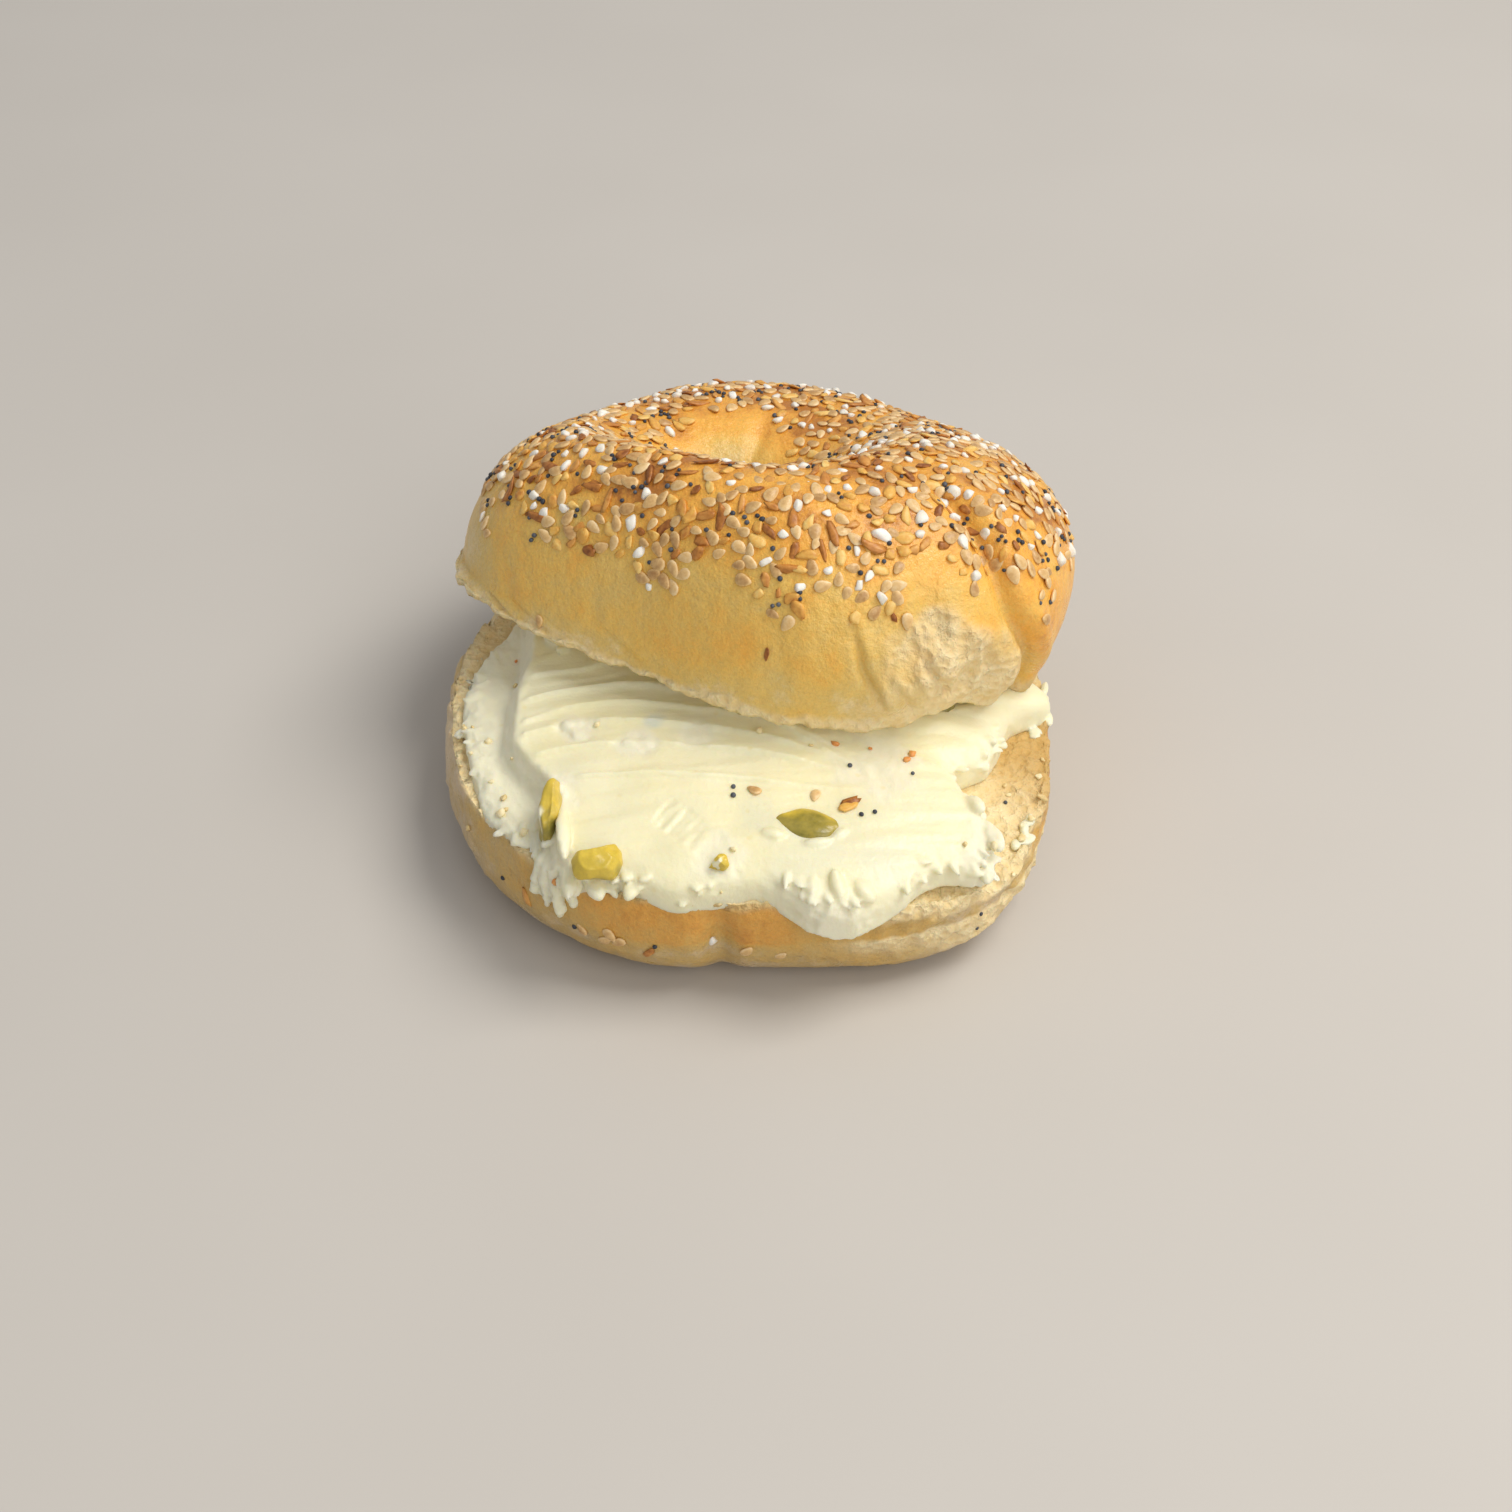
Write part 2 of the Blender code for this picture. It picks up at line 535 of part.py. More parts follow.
def main():
    for old in list(bpy.data.objects):
        bpy.data.objects.remove(old)
    draw = random.Random(RANDOM_START)
    home = bpy.data.collections.new(COLLECTION)
    bpy.context.scene.collection.children.link(home)
    crumb = material("bagel_crust", (0.61, 0.36, 0.13), 0.55)
    cream_white = material("cream_cheese", (0.87, 0.83, 0.62), 0.42)
    olive_green = material("olive", (0.24, 0.22, 0.05), 0.30)

    heel = ring("heel", HEEL_SEGMENTS, HEEL_STEPS, heel_point, HEEL_FOLD_DIRECTION)
    heel.location = HEEL_AT
    bpy.context.view_layer.update()
    settle(heel)
    crown = ring("crown", CROWN_SEGMENTS, CROWN_STEPS, crown_point, CROWN_SEAM_DIRECTION)
    settle(crown, crown_turn())
    olives = [chunk(name, *how) for name, how in OLIVES.items()]

    cream = spread_of_cream("cream_cheese")
    cut(cream, heel, GAP)
    cut(cream, crown, GAP)
    for olive in olives:
        cut(cream, olive, GAP)
    toppings = []
    tops = [polygon for polygon in cream.data.polygons if polygon.normal.z > FACING_UP]
    for kind, x, y in CREAM_BITS:
        near = min(tops, key=lambda p: (p.center.x - x) ** 2 + (p.center.y - y) ** 2)
        place = lie_on(Vector((x, y, near.center.z)), near.normal, draw.uniform(0.0, 2.0 * math.pi), 0.0)
        toppings.append(bit(kind, place, draw))
    join(cream, toppings)
    join(crown, crown_bits(draw))

    looks = [(heel, crumb), (crown, crumb), (cream, cream_white)]
    for piece, look in looks + [(olive, olive_green) for olive in olives]:
        piece.data.materials.clear()
        piece.data.materials.append(look)
        for polygon in piece.data.polygons:
            polygon.material_index = 0
            polygon.use_smooth = False
        settle(piece, Matrix.Translation(STAND_AT))
    move_to(home, [heel, crown, cream] + olives)


main()
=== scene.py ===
# Seeded bagel with a thick spread of cream cheese and olive pieces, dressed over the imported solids.
import math
import random

import bmesh
import bpy
import numpy as np
from mathutils import Euler, Matrix, Vector, noise
from mathutils.bvhtree import BVHTree


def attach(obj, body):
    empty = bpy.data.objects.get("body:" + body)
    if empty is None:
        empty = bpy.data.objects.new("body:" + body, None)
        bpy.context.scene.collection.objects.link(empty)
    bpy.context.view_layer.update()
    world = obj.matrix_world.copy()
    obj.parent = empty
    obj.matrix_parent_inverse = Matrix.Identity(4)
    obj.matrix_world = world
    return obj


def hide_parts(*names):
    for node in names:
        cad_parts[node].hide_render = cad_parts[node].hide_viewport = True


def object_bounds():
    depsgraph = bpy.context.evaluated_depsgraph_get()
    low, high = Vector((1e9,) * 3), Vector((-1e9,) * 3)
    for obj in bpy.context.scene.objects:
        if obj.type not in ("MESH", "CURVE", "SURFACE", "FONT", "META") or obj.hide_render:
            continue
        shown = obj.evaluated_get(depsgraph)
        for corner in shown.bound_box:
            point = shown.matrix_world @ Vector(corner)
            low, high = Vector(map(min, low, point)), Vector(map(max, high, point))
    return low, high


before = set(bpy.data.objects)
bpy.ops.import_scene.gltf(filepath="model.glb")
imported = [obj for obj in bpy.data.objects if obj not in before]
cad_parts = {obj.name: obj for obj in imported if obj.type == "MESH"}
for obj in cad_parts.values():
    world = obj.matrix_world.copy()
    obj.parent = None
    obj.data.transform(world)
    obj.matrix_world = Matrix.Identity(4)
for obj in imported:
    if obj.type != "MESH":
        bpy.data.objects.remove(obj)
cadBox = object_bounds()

standAt = Vector((-0.0008, -0.0024, 0.0))  # brings the middle of the whole over the origin
touchGap = 0.0003  # room between two pieces that touch
fullTurn = 6.283


# small helpers for directions round a ring, in degrees: 0 is right, 90 the back, -90 the front
def wrapped(angle):
    return (angle + 180.0) % 360.0 - 180.0


def hump(angle, centre, spread):
    return math.exp(-((wrapped(angle - centre) / spread) ** 2))


def smooth(low, high, value):
    share = min(1.0, max(0.0, (value - low) / (high - low)))
    return share * share * (3.0 - 2.0 * share)


def outwardAt(angle):
    turned = math.radians(angle)
    return Vector((math.cos(turned), math.sin(turned), 0.0))


def bellAt(value, centre, width):
    return math.exp(-(((value - centre) / width) ** 2))


def waves(point, length, seed):
    # soft noise with waves about as long as said, from -1 to 1
    return noise.noise(Vector(point) / length + Vector((seed, 0.37 * seed, 1.7 * seed)))


def lumps(point, length, seed):
    # piled-up lumps with sharp valleys, from -1 to 1
    return 1.0 - 4.0 * abs(waves(point, length, seed))


def layered(point, layers):
    # noise of several sizes added up: its kind, height, length and seed
    return sum(height * kind(point, length, seed) for kind, height, length, seed in layers)


def outline(angle, shape):
    across = abs(math.cos(math.radians(angle))) / shape["halfWidth"]
    along = abs(math.sin(math.radians(angle))) / shape["halfDepth"]
    square = shape["squareness"]
    radius = (across**square + along**square) ** (-1.0 / square)
    return radius + sum(rise * hump(angle, centre, spread) for centre, spread, rise in shape["bumps"])


def stretchOf(turn, steps):
    step = turn * sum(steps.values())
    for name, count in steps.items():
        if step < count:
            return name, step / count
        step -= count
    return next(iter(steps)), 0.0


def ringMesh(name, shape, pointAt):
    # a closed ring of quads, with more of them at the front, where the camera looks
    rounds = sum(shape["steps"].values())
    places = []
    for segment in range(shape["segments"]):
        way = 2.0 * segment / shape["segments"] - 1.0
        angle = wrapped(-90.0 + 180.0 * way - shape["frontDense"] * math.degrees(math.sin(math.pi * way)))
        places.extend((angle, step / rounds) for step in range(rounds))
    total = len(places)
    faces = []
    for segment in range(shape["segments"]):
        here = segment * rounds
        after = (here + rounds) % total
        for step in range(rounds):
            following = (step + 1) % rounds
            faces.append((here + step, after + step, after + following, here + following))
    mesh = bpy.data.meshes.new(name)
    mesh.from_pydata([pointAt(angle, turn) for angle, turn in places], [], faces)
    made = bpy.data.objects.new(name, mesh)
    bpy.context.scene.collection.objects.link(made)
    return made, places


def shapeOf(maker, **how):
    # points and faces of a small closed shape, one across, to be copied many times
    shape = bmesh.new()
    maker(shape, radius=0.5, **how)
    points = np.array([vertex.co[:] for vertex in shape.verts])
    faces = [[vertex.index for vertex in face.verts] for face in shape.faces]
    shape.free()
    return points, faces


tuftShape = shapeOf(bmesh.ops.create_uvsphere, u_segments=14, v_segments=9)
seedShape = shapeOf(bmesh.ops.create_uvsphere, u_segments=12, v_segments=8)
grainShape = shapeOf(bmesh.ops.create_icosphere, subdivisions=2)


def readPoints(mesh):
    points = np.zeros(len(mesh.vertices) * 3)
    mesh.vertices.foreach_get("co", points)
    return points.reshape(-1, 3)


def readNormals(mesh):
    normals = np.zeros(len(mesh.vertices) * 3, np.float32)
    mesh.vertex_normals.foreach_get("vector", normals)
    return normals.reshape(-1, 3)


def writePoints(mesh, points):
    mesh.vertices.foreach_set("co", points.ravel())
    mesh.update()


def pushOut(piece, amounts):
    # move every point along its own normal
    mesh = piece.data
    writePoints(mesh, readPoints(mesh) + readNormals(mesh) * np.array(amounts)[:, None])


def paint(piece, name, values):
    layer = piece.data.attributes.get(name) or piece.data.attributes.new(name, "FLOAT", "POINT")
    layer.data.foreach_set("value", np.array(values, np.float32))


def settle(piece, matrix):
    piece.data.transform(matrix)
    piece.matrix_world = Matrix.Identity(4)
    piece.data.update()


def keepInside(piece):
    # nothing reaches out of the box of the solids
    low, high = (np.array(corner) for corner in cadBox)
    writePoints(piece.data, np.clip(readPoints(piece.data), low, high))


def dress(piece, look, slotName, nodes=()):
    keepInside(piece)
    piece.data.materials.clear()
    piece.data.materials.append(look)
    piece.data.polygons.foreach_set("use_smooth", [True] * len(piece.data.polygons))
    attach(piece, "root")
    if nodes:
        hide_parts(*nodes)


# materials
class Look:
    # a Principled material and short ways to add nodes to it
    def __init__(self, name):
        self.material = bpy.data.materials.new(name)
        self.material.use_nodes = True
        self.tree = self.material.node_tree
        self.shader = self.tree.nodes["Principled BSDF"]
        self.coords = self.tree.nodes.new("ShaderNodeTexCoord").outputs["Object"]

    def put(self, **values):
        for name, value in values.items():
            self.shader.inputs[name.replace("_", " ")].default_value = value

    def attribute(self, name):
        made = self.tree.nodes.new("ShaderNodeAttribute")
        made.attribute_name = name
        return made.outputs["Fac"]

    def noise(self, scale, detail=4.0, rough=0.55):
        made = self.tree.nodes.new("ShaderNodeTexNoise")
        made.inputs["Scale"].default_value = scale
        made.inputs["Detail"].default_value = detail
        made.inputs["Roughness"].default_value = rough
        self.tree.links.new(self.coords, made.inputs["Vector"])
        return made.outputs["Fac"]

    def mottle(self, scale, detail, rough, low, high):
        # noise drawn out from low to high
        return self.span(self.noise(scale, detail, rough), 0.3, 0.7, low, high)

    def cells(self, scale):
        made = self.tree.nodes.new("ShaderNodeTexVoronoi")
        made.inputs["Scale"].default_value = scale
        self.tree.links.new(self.coords, made.inputs["Vector"])
        return made.outputs["Distance"]

    def math(self, kind, first, second, clamp=False):
        made = self.tree.nodes.new("ShaderNodeMath")
        made.operation = kind
        made.use_clamp = clamp
        for socket, value in zip(made.inputs, (first, second)):
            if isinstance(value, (int, float)):
                socket.default_value = value
            else:
                self.tree.links.new(value, socket)
        return made.outputs["Value"]

    def span(self, source, fromLow, fromHigh, toLow, toHigh):
        made = self.tree.nodes.new("ShaderNodeMapRange")
        ends = {"From Min": fromLow, "From Max": fromHigh, "To Min": toLow, "To Max": toHigh}
        for name, value in ends.items():
            made.inputs[name].default_value = value
        self.tree.links.new(source, made.inputs["Value"])
        return made.outputs["Result"]

    def ramp(self, source, stops):
        made = self.tree.nodes.new("ShaderNodeValToRGB")
        held = made.color_ramp.elements
        while len(held) < len(stops):
            held.new(0.5)
        for element, (place, colour) in zip(held, stops):
            element.position = place
            element.color = (*colour, 1.0)
        self.tree.links.new(source, made.inputs["Fac"])
        return made.outputs["Color"]

    def mix(self, share, first, second, blend="MIX"):
        made = self.tree.nodes.new("ShaderNodeMix")
        made.data_type = "RGBA"
        made.blend_type = blend
        sockets = [made.inputs[index] for index in (0, 6, 7)]  # the share and the two colours
        for socket, value in zip(sockets, (share, first, second)):
            if isinstance(value, (int, float)):
                socket.default_value = value
            elif isinstance(value, tuple):
                socket.default_value = (*value, 1.0)
            else:
                self.tree.links.new(value, socket)
        return made.outputs[2]

    def colour(self, source):
        self.tree.links.new(source, self.shader.inputs["Base Color"])

    def roughness(self, source):
        self.tree.links.new(source, self.shader.inputs["Roughness"])

    def relief(self, heights):
        # each of the heights is a source and how tall it stands, in metres
        last = None
        for source, height in heights:
            made = self.tree.nodes.new("ShaderNodeBump")
            made.inputs["Strength"].default_value = 1.0
            made.inputs["Distance"].default_value = height
            self.tree.links.new(source, made.inputs["Height"])
            if last:
                self.tree.links.new(last, made.inputs["Normal"])
            last = made.outputs["Normal"]
        self.tree.links.new(last, self.shader.inputs["Normal"])


crustColours = {
    "baked": (  # from the unbaked lip to the toasted top
        (0.00, (0.84, 0.66, 0.36)),
        (0.20, (0.77, 0.54, 0.170)),
        (0.45, (0.85, 0.53, 0.118)),
        (0.70, (0.92, 0.47, 0.075)),
        (0.88, (0.78, 0.35, 0.050)),
        (1.00, (0.50, 0.19, 0.03)),
    ),
    # darkest crumb: painted shade in the pits of the pores, and darker crumb in random patches
    "crumbDarkAndPoreShade": (0.82, 0.61, 0.29),
    "crumbLight": (0.96, 0.81, 0.49),
    "crumbToasted": (0.60, 0.37, 0.11),
}


def crustLook(name, paintedShadeAndTint):
    look = Look(name)
    baked = look.math("ADD", look.attribute("browned"), look.mottle(95.0, 6.0, 0.7, -0.22, 0.22))
    baked = look.math("ADD", baked, look.span(look.noise(42.0, 3.0, 0.6), 0.35, 0.65, -0.10, 0.10))
    baked = look.math("ADD", baked, look.mottle(620.0, 3.0, 0.7, -0.05, 0.05), clamp=True)
    skin = look.ramp(baked, crustColours["baked"])
    speckle = look.span(look.noise(1900.0, 2.0, 0.8), 0.35, 0.75, 0.90, 1.08)
    skin = look.mix(1.0, skin, look.mix(speckle, (0.0, 0.0, 0.0), (1.0, 1.0, 1.0)), "MULTIPLY")
    # the crumb is darker at the middle of each pore, where the bump sinks a pit: painted shade, and
    # darker crumb in random patches where the pores fade
    bubbles = look.span(look.cells(520.0), 0.1, 0.75, 0.0, 1.0)
    uneven = look.span(look.noise(260.0, 5.0, 0.7), 0.3, 0.65, 0.2, 1.0)
    bubbles = look.math("MULTIPLY", bubbles, uneven, clamp=True)
    inside = look.mix(bubbles, crustColours["crumbDarkAndPoreShade"], crustColours["crumbLight"])
    # the heel's copy darkens its skin: painted shade for the heel under the spread, together with its
    # browner bake
    skin = look.mix(1.0, skin, paintedShadeAndTint, "MULTIPLY")
    toasted = look.span(look.attribute("browned"), 0.38, 0.78, 0.0, 0.9)
    inside = look.mix(toasted, inside, crustColours["crumbToasted"])
    torn = look.attribute("crumb")
    look.colour(look.mix(torn, skin, inside))
    gloss = look.mottle(170.0, 4.0, 0.55, 0.24, 0.44)
    look.roughness(look.math("MAXIMUM", gloss, look.span(torn, 0.0, 1.0, 0.0, 0.80)))
    pores = look.noise(1500.0, 3.0, 0.6)
    blisters = look.noise(360.0, 4.0, 0.6)
    look.relief(((pores, 0.00018), (blisters, 0.00060), (look.math("MULTIPLY", bubbles, torn), 0.0007)))
    look.put(Coat_Weight=0.14, Coat_Roughness=0.30, Specular_IOR_Level=0.42)
    look.put(Subsurface_Weight=0.10, Subsurface_Radius=(0.0030, 0.0014, 0.0006), Subsurface_Scale=1.0)
    return look.material


creamColours = {
    "plain": (0.87, 0.825, 0.57),
    "warm": (0.88, 0.81, 0.49),
    "airy": (0.855, 0.815, 0.62),
    "grey": (0.60, 0.66, 0.62),  # where an olive piece lies just under the surface
    "speck": (0.80, 0.66, 0.25),
}


def creamLook():
    look = Look("creamCheese")
    warmth = look.span(look.noise(60.0, 3.0), 0.35, 0.7, 0.0, 0.8)
    base = look.mix(warmth, creamColours["plain"], creamColours["warm"])
    base = look.mix(look.attribute("curdled"), base, creamColours["airy"])
    base = look.mix(look.attribute("greyed"), base, creamColours["grey"])
    specks = look.span(look.cells(170.0), 0.05, 0.11, 0.30, 0.0)
    look.colour(look.mix(specks, base, creamColours["speck"]))
    look.roughness(look.span(look.attribute("curdled"), 0.0, 1.0, 0.36, 0.62))
    look.relief(((look.noise(900.0, 4.0, 0.6), 0.00012), (look.noise(240.0, 3.0, 0.5), 0.00018)))
    look.put(Specular_IOR_Level=0.5, Subsurface_Weight=0.35, Subsurface_Scale=1.0)
    look.put(Subsurface_Radius=(0.0040, 0.0030, 0.0016))
    return look.material


oliveColours = {
    "skinDark": (0.20, 0.175, 0.030),
    "skinLight": (0.40, 0.31, 0.055),
    "flesh": (0.74, 0.54, 0.065),
    "fleshDark": (0.46, 0.34, 0.05),
    "smear": (0.84, 0.80, 0.58),
}


def oliveLook():
    look = Look("olivePiece")
    lighter = look.span(look.noise(330.0, 4.0), 0.35, 0.65, 0.0, 1.0)
    skin = look.mix(lighter, oliveColours["skinDark"], oliveColours["skinLight"])
    darker = look.mottle(500.0, 4.0, 0.55, 0.0, 0.5)
    flesh = look.mix(darker, oliveColours["flesh"], oliveColours["fleshDark"])
    patchy = look.mottle(420.0, 3.0, 0.55, -0.2, 0.2)
    cutShare = look.math("ADD", look.attribute("flesh"), patchy, clamp=True)
    body = look.mix(cutShare, skin, flesh)
    look.colour(look.mix(look.attribute("smeared"), body, oliveColours["smear"]))
    look.put(Roughness=0.28, Specular_IOR_Level=0.5, Subsurface_Weight=0.25, Subsurface_Scale=1.0)
    look.put(Subsurface_Radius=(0.0014, 0.0011, 0.0003))
    look.relief(((look.noise(1100.0, 3.0), 0.00008), (look.noise(300.0, 3.0), 0.00025)))
    return look.material


toppingColours = {  # darkest, middle and lightest of each kind, with its roughness
    "sesame": (((0.42, 0.21, 0.07), (0.74, 0.48, 0.20), (0.89, 0.70, 0.42)), 0.34),
    "salt": (((0.66, 0.55, 0.40), (0.83, 0.78, 0.68), (0.91, 0.88, 0.81)), 0.45),
    "poppy": (((0.020, 0.022, 0.030), (0.045, 0.050, 0.065), (0.13, 0.14, 0.16)), 0.50),
    "garlic": (((0.55, 0.22, 0.04), (0.80, 0.44, 0.09), (0.88, 0.62, 0.22)), 0.42),
    "onion": (((0.24, 0.07, 0.012), (0.56, 0.22, 0.04), (0.76, 0.40, 0.10)), 0.42),
    "crumb": (((0.62, 0.44, 0.18), (0.80, 0.64, 0.33), (0.90, 0.80, 0.52)), 0.75),
    "pepper": (((0.45, 0.10, 0.03), (0.75, 0.28, 0.07), (0.82, 0.45, 0.14)), 0.35),
}


def toppingLook(kind):
    (dark, middle, light), rough = toppingColours[kind]
    look = Look(kind + "Look")
    uneven = look.mottle(1300.0, 3.0, 0.55, -0.16, 0.16)
    tone = look.math("ADD", look.attribute("tone"), uneven, clamp=True)
    look.colour(look.ramp(tone, ((0.0, dark), (0.5, middle), (1.0, light))))
    look.relief(((look.noise(2600.0, 3.0), 0.00005),))
    look.put(Roughness=rough, Specular_IOR_Level=0.45)
    if kind in ("salt", "garlic", "crumb"):
        look.put(Subsurface_Weight=0.2, Subsurface_Radius=(0.0008, 0.0006, 0.0004), Subsurface_Scale=1.0)
    return look.material


# crown: the upper half, on its own flat cut face, then sloped over the spread
crown = {
    "at": Vector((0.0005, 0.0180, 0.0302)),
    "slope": (-0.115, -0.120),
    "halfWidth": 0.0590,
    "halfDepth": 0.0570,
    "squareness": 2.15,
    "bumps": (
        (-122.0, 30.0, -0.0125),
        (-148.0, 18.0, -0.0025),
        (-45.0, 22.0, 0.0030),
        (38.0, 38.0, -0.0070),
        (140.0, 38.0, -0.0060),
    ),
    "crest": 0.0317,
    "crestRise": 0.0083,
    "crestBumps": ((32.0, 34.0, -0.0035), (145.0, 36.0, -0.0030), (-105.0, 38.0, -0.0022)),
    "slantSide": 175.0,
    "slantSpread": 45.0,
    "slant": 0.45,
    "thickSide": -68.0,
    "lean": 0.03,
    "widest": 0.0075,
    "widestRise": 0.0075,
    "widestSide": -30.0,
    "lowerHalf": 0.0260,
    "hole": 0.0125,
    "holeOff": Vector((-0.0085, -0.0030, 0.0)),
    "holeNeck": 0.0090,
    "holeFootFlare": 0.0015,
    "crestShare": 0.48,
    "seamDirection": -35.5,
    "biteDirection": -53.0,
    "biteSpread": 8.0,
    "bite": 0.0032,
    "seamTurn": -12.0,
    "seamTurnHeight": 0.65,
    "seamTurnSpread": 32.0,
    "seamDepth": 0.0020,
    "seamStep": 0.0017,
    "tornDirection": -56.0,
    "tornSpread": 13.0,
    "tornDepth": 0.0028,
    "roll": 0.0011,
    "rollLength": 0.024,
    "segments": 600,
    "steps": {"outer": 64, "inner": 42, "hole": 12, "face": 14, "skirt": 28},
    "frontDense": 0.42,
    "wing": (-168.0, 8.0, 0.0013),  # the torn tip at the left: direction, spread, reach
    "creases": (  # direction at the lip, lean to the left on the way up, depth, width, from and to height
        (-66.0, -6.0, 0.0010, 1.0, -0.7, 0.30),
        (-77.0, 7.0, 0.0004, 1.5, -0.9, 0.20),
        (-52.0, -7.0, 0.0008, 1.1, -0.7, 0.20),
        (-60.0, -8.0, 0.0006, 1.0, -0.9, -0.10),
        (-116.0, -14.0, 0.0003, 1.6, -0.8, 0.20),
        (-141.0, -12.0, 0.00035, 1.8, -0.9, 0.30),
        (-152.0, -8.0, 0.0005, 1.3, -1.0, -0.10),
        (-90.0, 2.0, 0.0003, 2.2, -0.8, 0.30),
    ),
    "cutRelief": ((lumps, 0.00035, 0.0032, 61.0),),
    "skinRelief": ((waves, 0.00012, 0.0060, 63.0), (waves, 0.00006, 0.0022, 65.0)),
    "tornFolds": ((waves, 0.00110, 0.0080, 67.0), (lumps, 0.00042, 0.0044, 69.0)),
    "tornGrain": ((lumps, 0.00018, 0.0018, 71.0),),
    "lipRelief": ((waves, 0.00085, 0.0042, 73.0), (waves, 0.00038, 0.0014, 75.0)),
    "bakedUneven": ((waves, 0.15, 0.013, 51.0), (waves, 0.08, 0.005, 53.0)),
}


def crownReach(angle):
    return outline(angle, crown)


def crownSection(angle, turn):
    reach = crownReach(angle)
    crestRadius = crown["hole"] + crown["crestShare"] * (reach - crown["hole"])
    crestHeight = crown["crest"] + crown["crestRise"] * math.cos(math.radians(angle - crown["thickSide"]))
    crestHeight += sum(rise * hump(angle, centre, spread) for centre, spread, rise in crown["crestBumps"])
    widest = crown["widest"] + crown["widestRise"] * math.cos(math.radians(angle - crown["widestSide"]))
    foot = crestRadius + (reach - crestRadius) * math.sqrt(1.0 - (widest / crown["lowerHalf"]) ** 2)
    holeFoot = crown["hole"] + crown["holeFootFlare"]
    bite = crown["bite"] * hump(angle, crown["biteDirection"], crown["biteSpread"])
    stretch, share = stretchOf(turn, crown["steps"])
    rise = math.sin(share * math.pi / 2.0)
    run = math.cos(share * math.pi / 2.0)
    if stretch == "outer":
        slant = 1.0 + crown["slant"] * hump(angle, crown["slantSide"], crown["slantSpread"])
        return crestRadius + (reach - crestRadius) * run**slant, widest + (crestHeight - widest) * rise
    if stretch == "inner":
        neck = crown["holeNeck"]
        return crestRadius - (crestRadius - crown["hole"]) * rise, neck + (crestHeight - neck) * run
    if stretch == "hole":
        return crown["hole"] + (holeFoot - crown["hole"]) * share, crown["holeNeck"] * (1.0 - share)
    if stretch == "face":
        return holeFoot + (foot - holeFoot) * share, bite * share**3
    return foot + (reach - foot) * rise, bite + (widest - bite) * share


def crownRough(angle, turn, flat):
    stretch, share = stretchOf(turn, crown["steps"])
    if stretch not in ("outer", "inner", "skirt"):
        return Vector()
    outward = outwardAt(angle)
    bend = share * math.pi / 2.0
    if stretch == "outer":
        facing = outward * math.cos(bend) + Vector((0.0, 0.0, math.sin(bend)))
    elif stretch == "inner":
        facing = outward * -math.sin(bend) + Vector((0.0, 0.0, math.cos(bend)))
    else:
        facing = outward
    outside = {"outer": 1.0, "inner": 1.0 - share, "skirt": share}[stretch]
    fading = {"outer": 1.0 - smooth(0.65, 1.0, share), "inner": 0.0, "skirt": 1.0}[stretch]
    past = wrapped(angle - crown["seamDirection"])
    step = crown["seamStep"] * math.exp(-past / 22.0) * smooth(-1.2, 1.2, past) if past > -1.2 else 0.0
    seam = step - crown["seamDepth"] * hump(angle, crown["seamDirection"], 2.4)
    low = {"outer": 1.0 - smooth(0.15, 0.55, share), "inner": 0.0, "skirt": 1.0}[stretch]
    torn = low * hump(angle, crown["tornDirection"], crown["tornSpread"])
    rough = crown["roll"] * waves(flat, crown["rollLength"], 3.0) * outside
    rough += fading * seam
    rough += torn * crown["tornDepth"] * (waves(flat, 0.0085, 9.0) - 0.15)
    return facing * rough


def crownPoint(angle, turn):
    lifted = crownSection(angle, turn)[1] / (crown["crest"] + crown["crestRise"])
    near = hump(angle, crown["seamDirection"], crown["seamTurnSpread"])
    wound = angle + crown["seamTurn"] * smooth(0.0, crown["seamTurnHeight"], lifted) * near
    radius, height = crownSection(wound, turn)
    turned = math.radians(wound)
    flat = Vector((radius * math.cos(turned), radius * math.sin(turned), height))
    point = flat + crownRough(angle, turn, flat)
    lean = -outwardAt(crown["thickSide"]) * crown["lean"] * point.z
    return point + lean + crown["holeOff"] * (1.0 - radius / crownReach(wound))


def crownTurn():
    normal = Vector((-crown["slope"][0], -crown["slope"][1], 1.0)).normalized()
    tilt = Vector((0.0, 0.0, 1.0)).rotation_difference(normal)
    return Matrix.Translation(crown["at"]) @ tilt.to_matrix().to_4x4()


def crownCutHeight(x, y):
    at = crown["at"]
    return at.z + crown["slope"][0] * (x - at.x) + crown["slope"][1] * (y - at.y)


def crownUp(angle, turn):
    # -1 at the lip, 0 at the widest line, 1 on the crest, 2 at the neck of the hole, 3 on the cut face
    stretch, share = stretchOf(turn, crown["steps"])
    if stretch == "face":
        return 3.0
    return share + {"skirt": -1.0, "outer": 0.0, "inner": 1.0, "hole": 2.0}[stretch]


def crownTorn(angle, up, point):
    # where the skin has come off and the crumb shows
    if up >= 2.9:
        return 1.0
    low = 1.0 - smooth(0.05, 0.34, up + 0.20 * waves(point, 0.009, 41.0))
    side = hump(angle, crown["tornDirection"] + 4.0, crown["tornSpread"] + 1.0)
    side += 0.26 * waves(point, 0.0075, 43.0) + 0.12 * waves(point, 0.0028, 45.0)
    shown = smooth(0.22, 0.80, low * side)
    lip = 1.0 - smooth(-0.92, -0.76, up + 0.16 * waves(point, 0.004, 47.0))
    return max(shown, lip if up < 0.0 else 0.0)


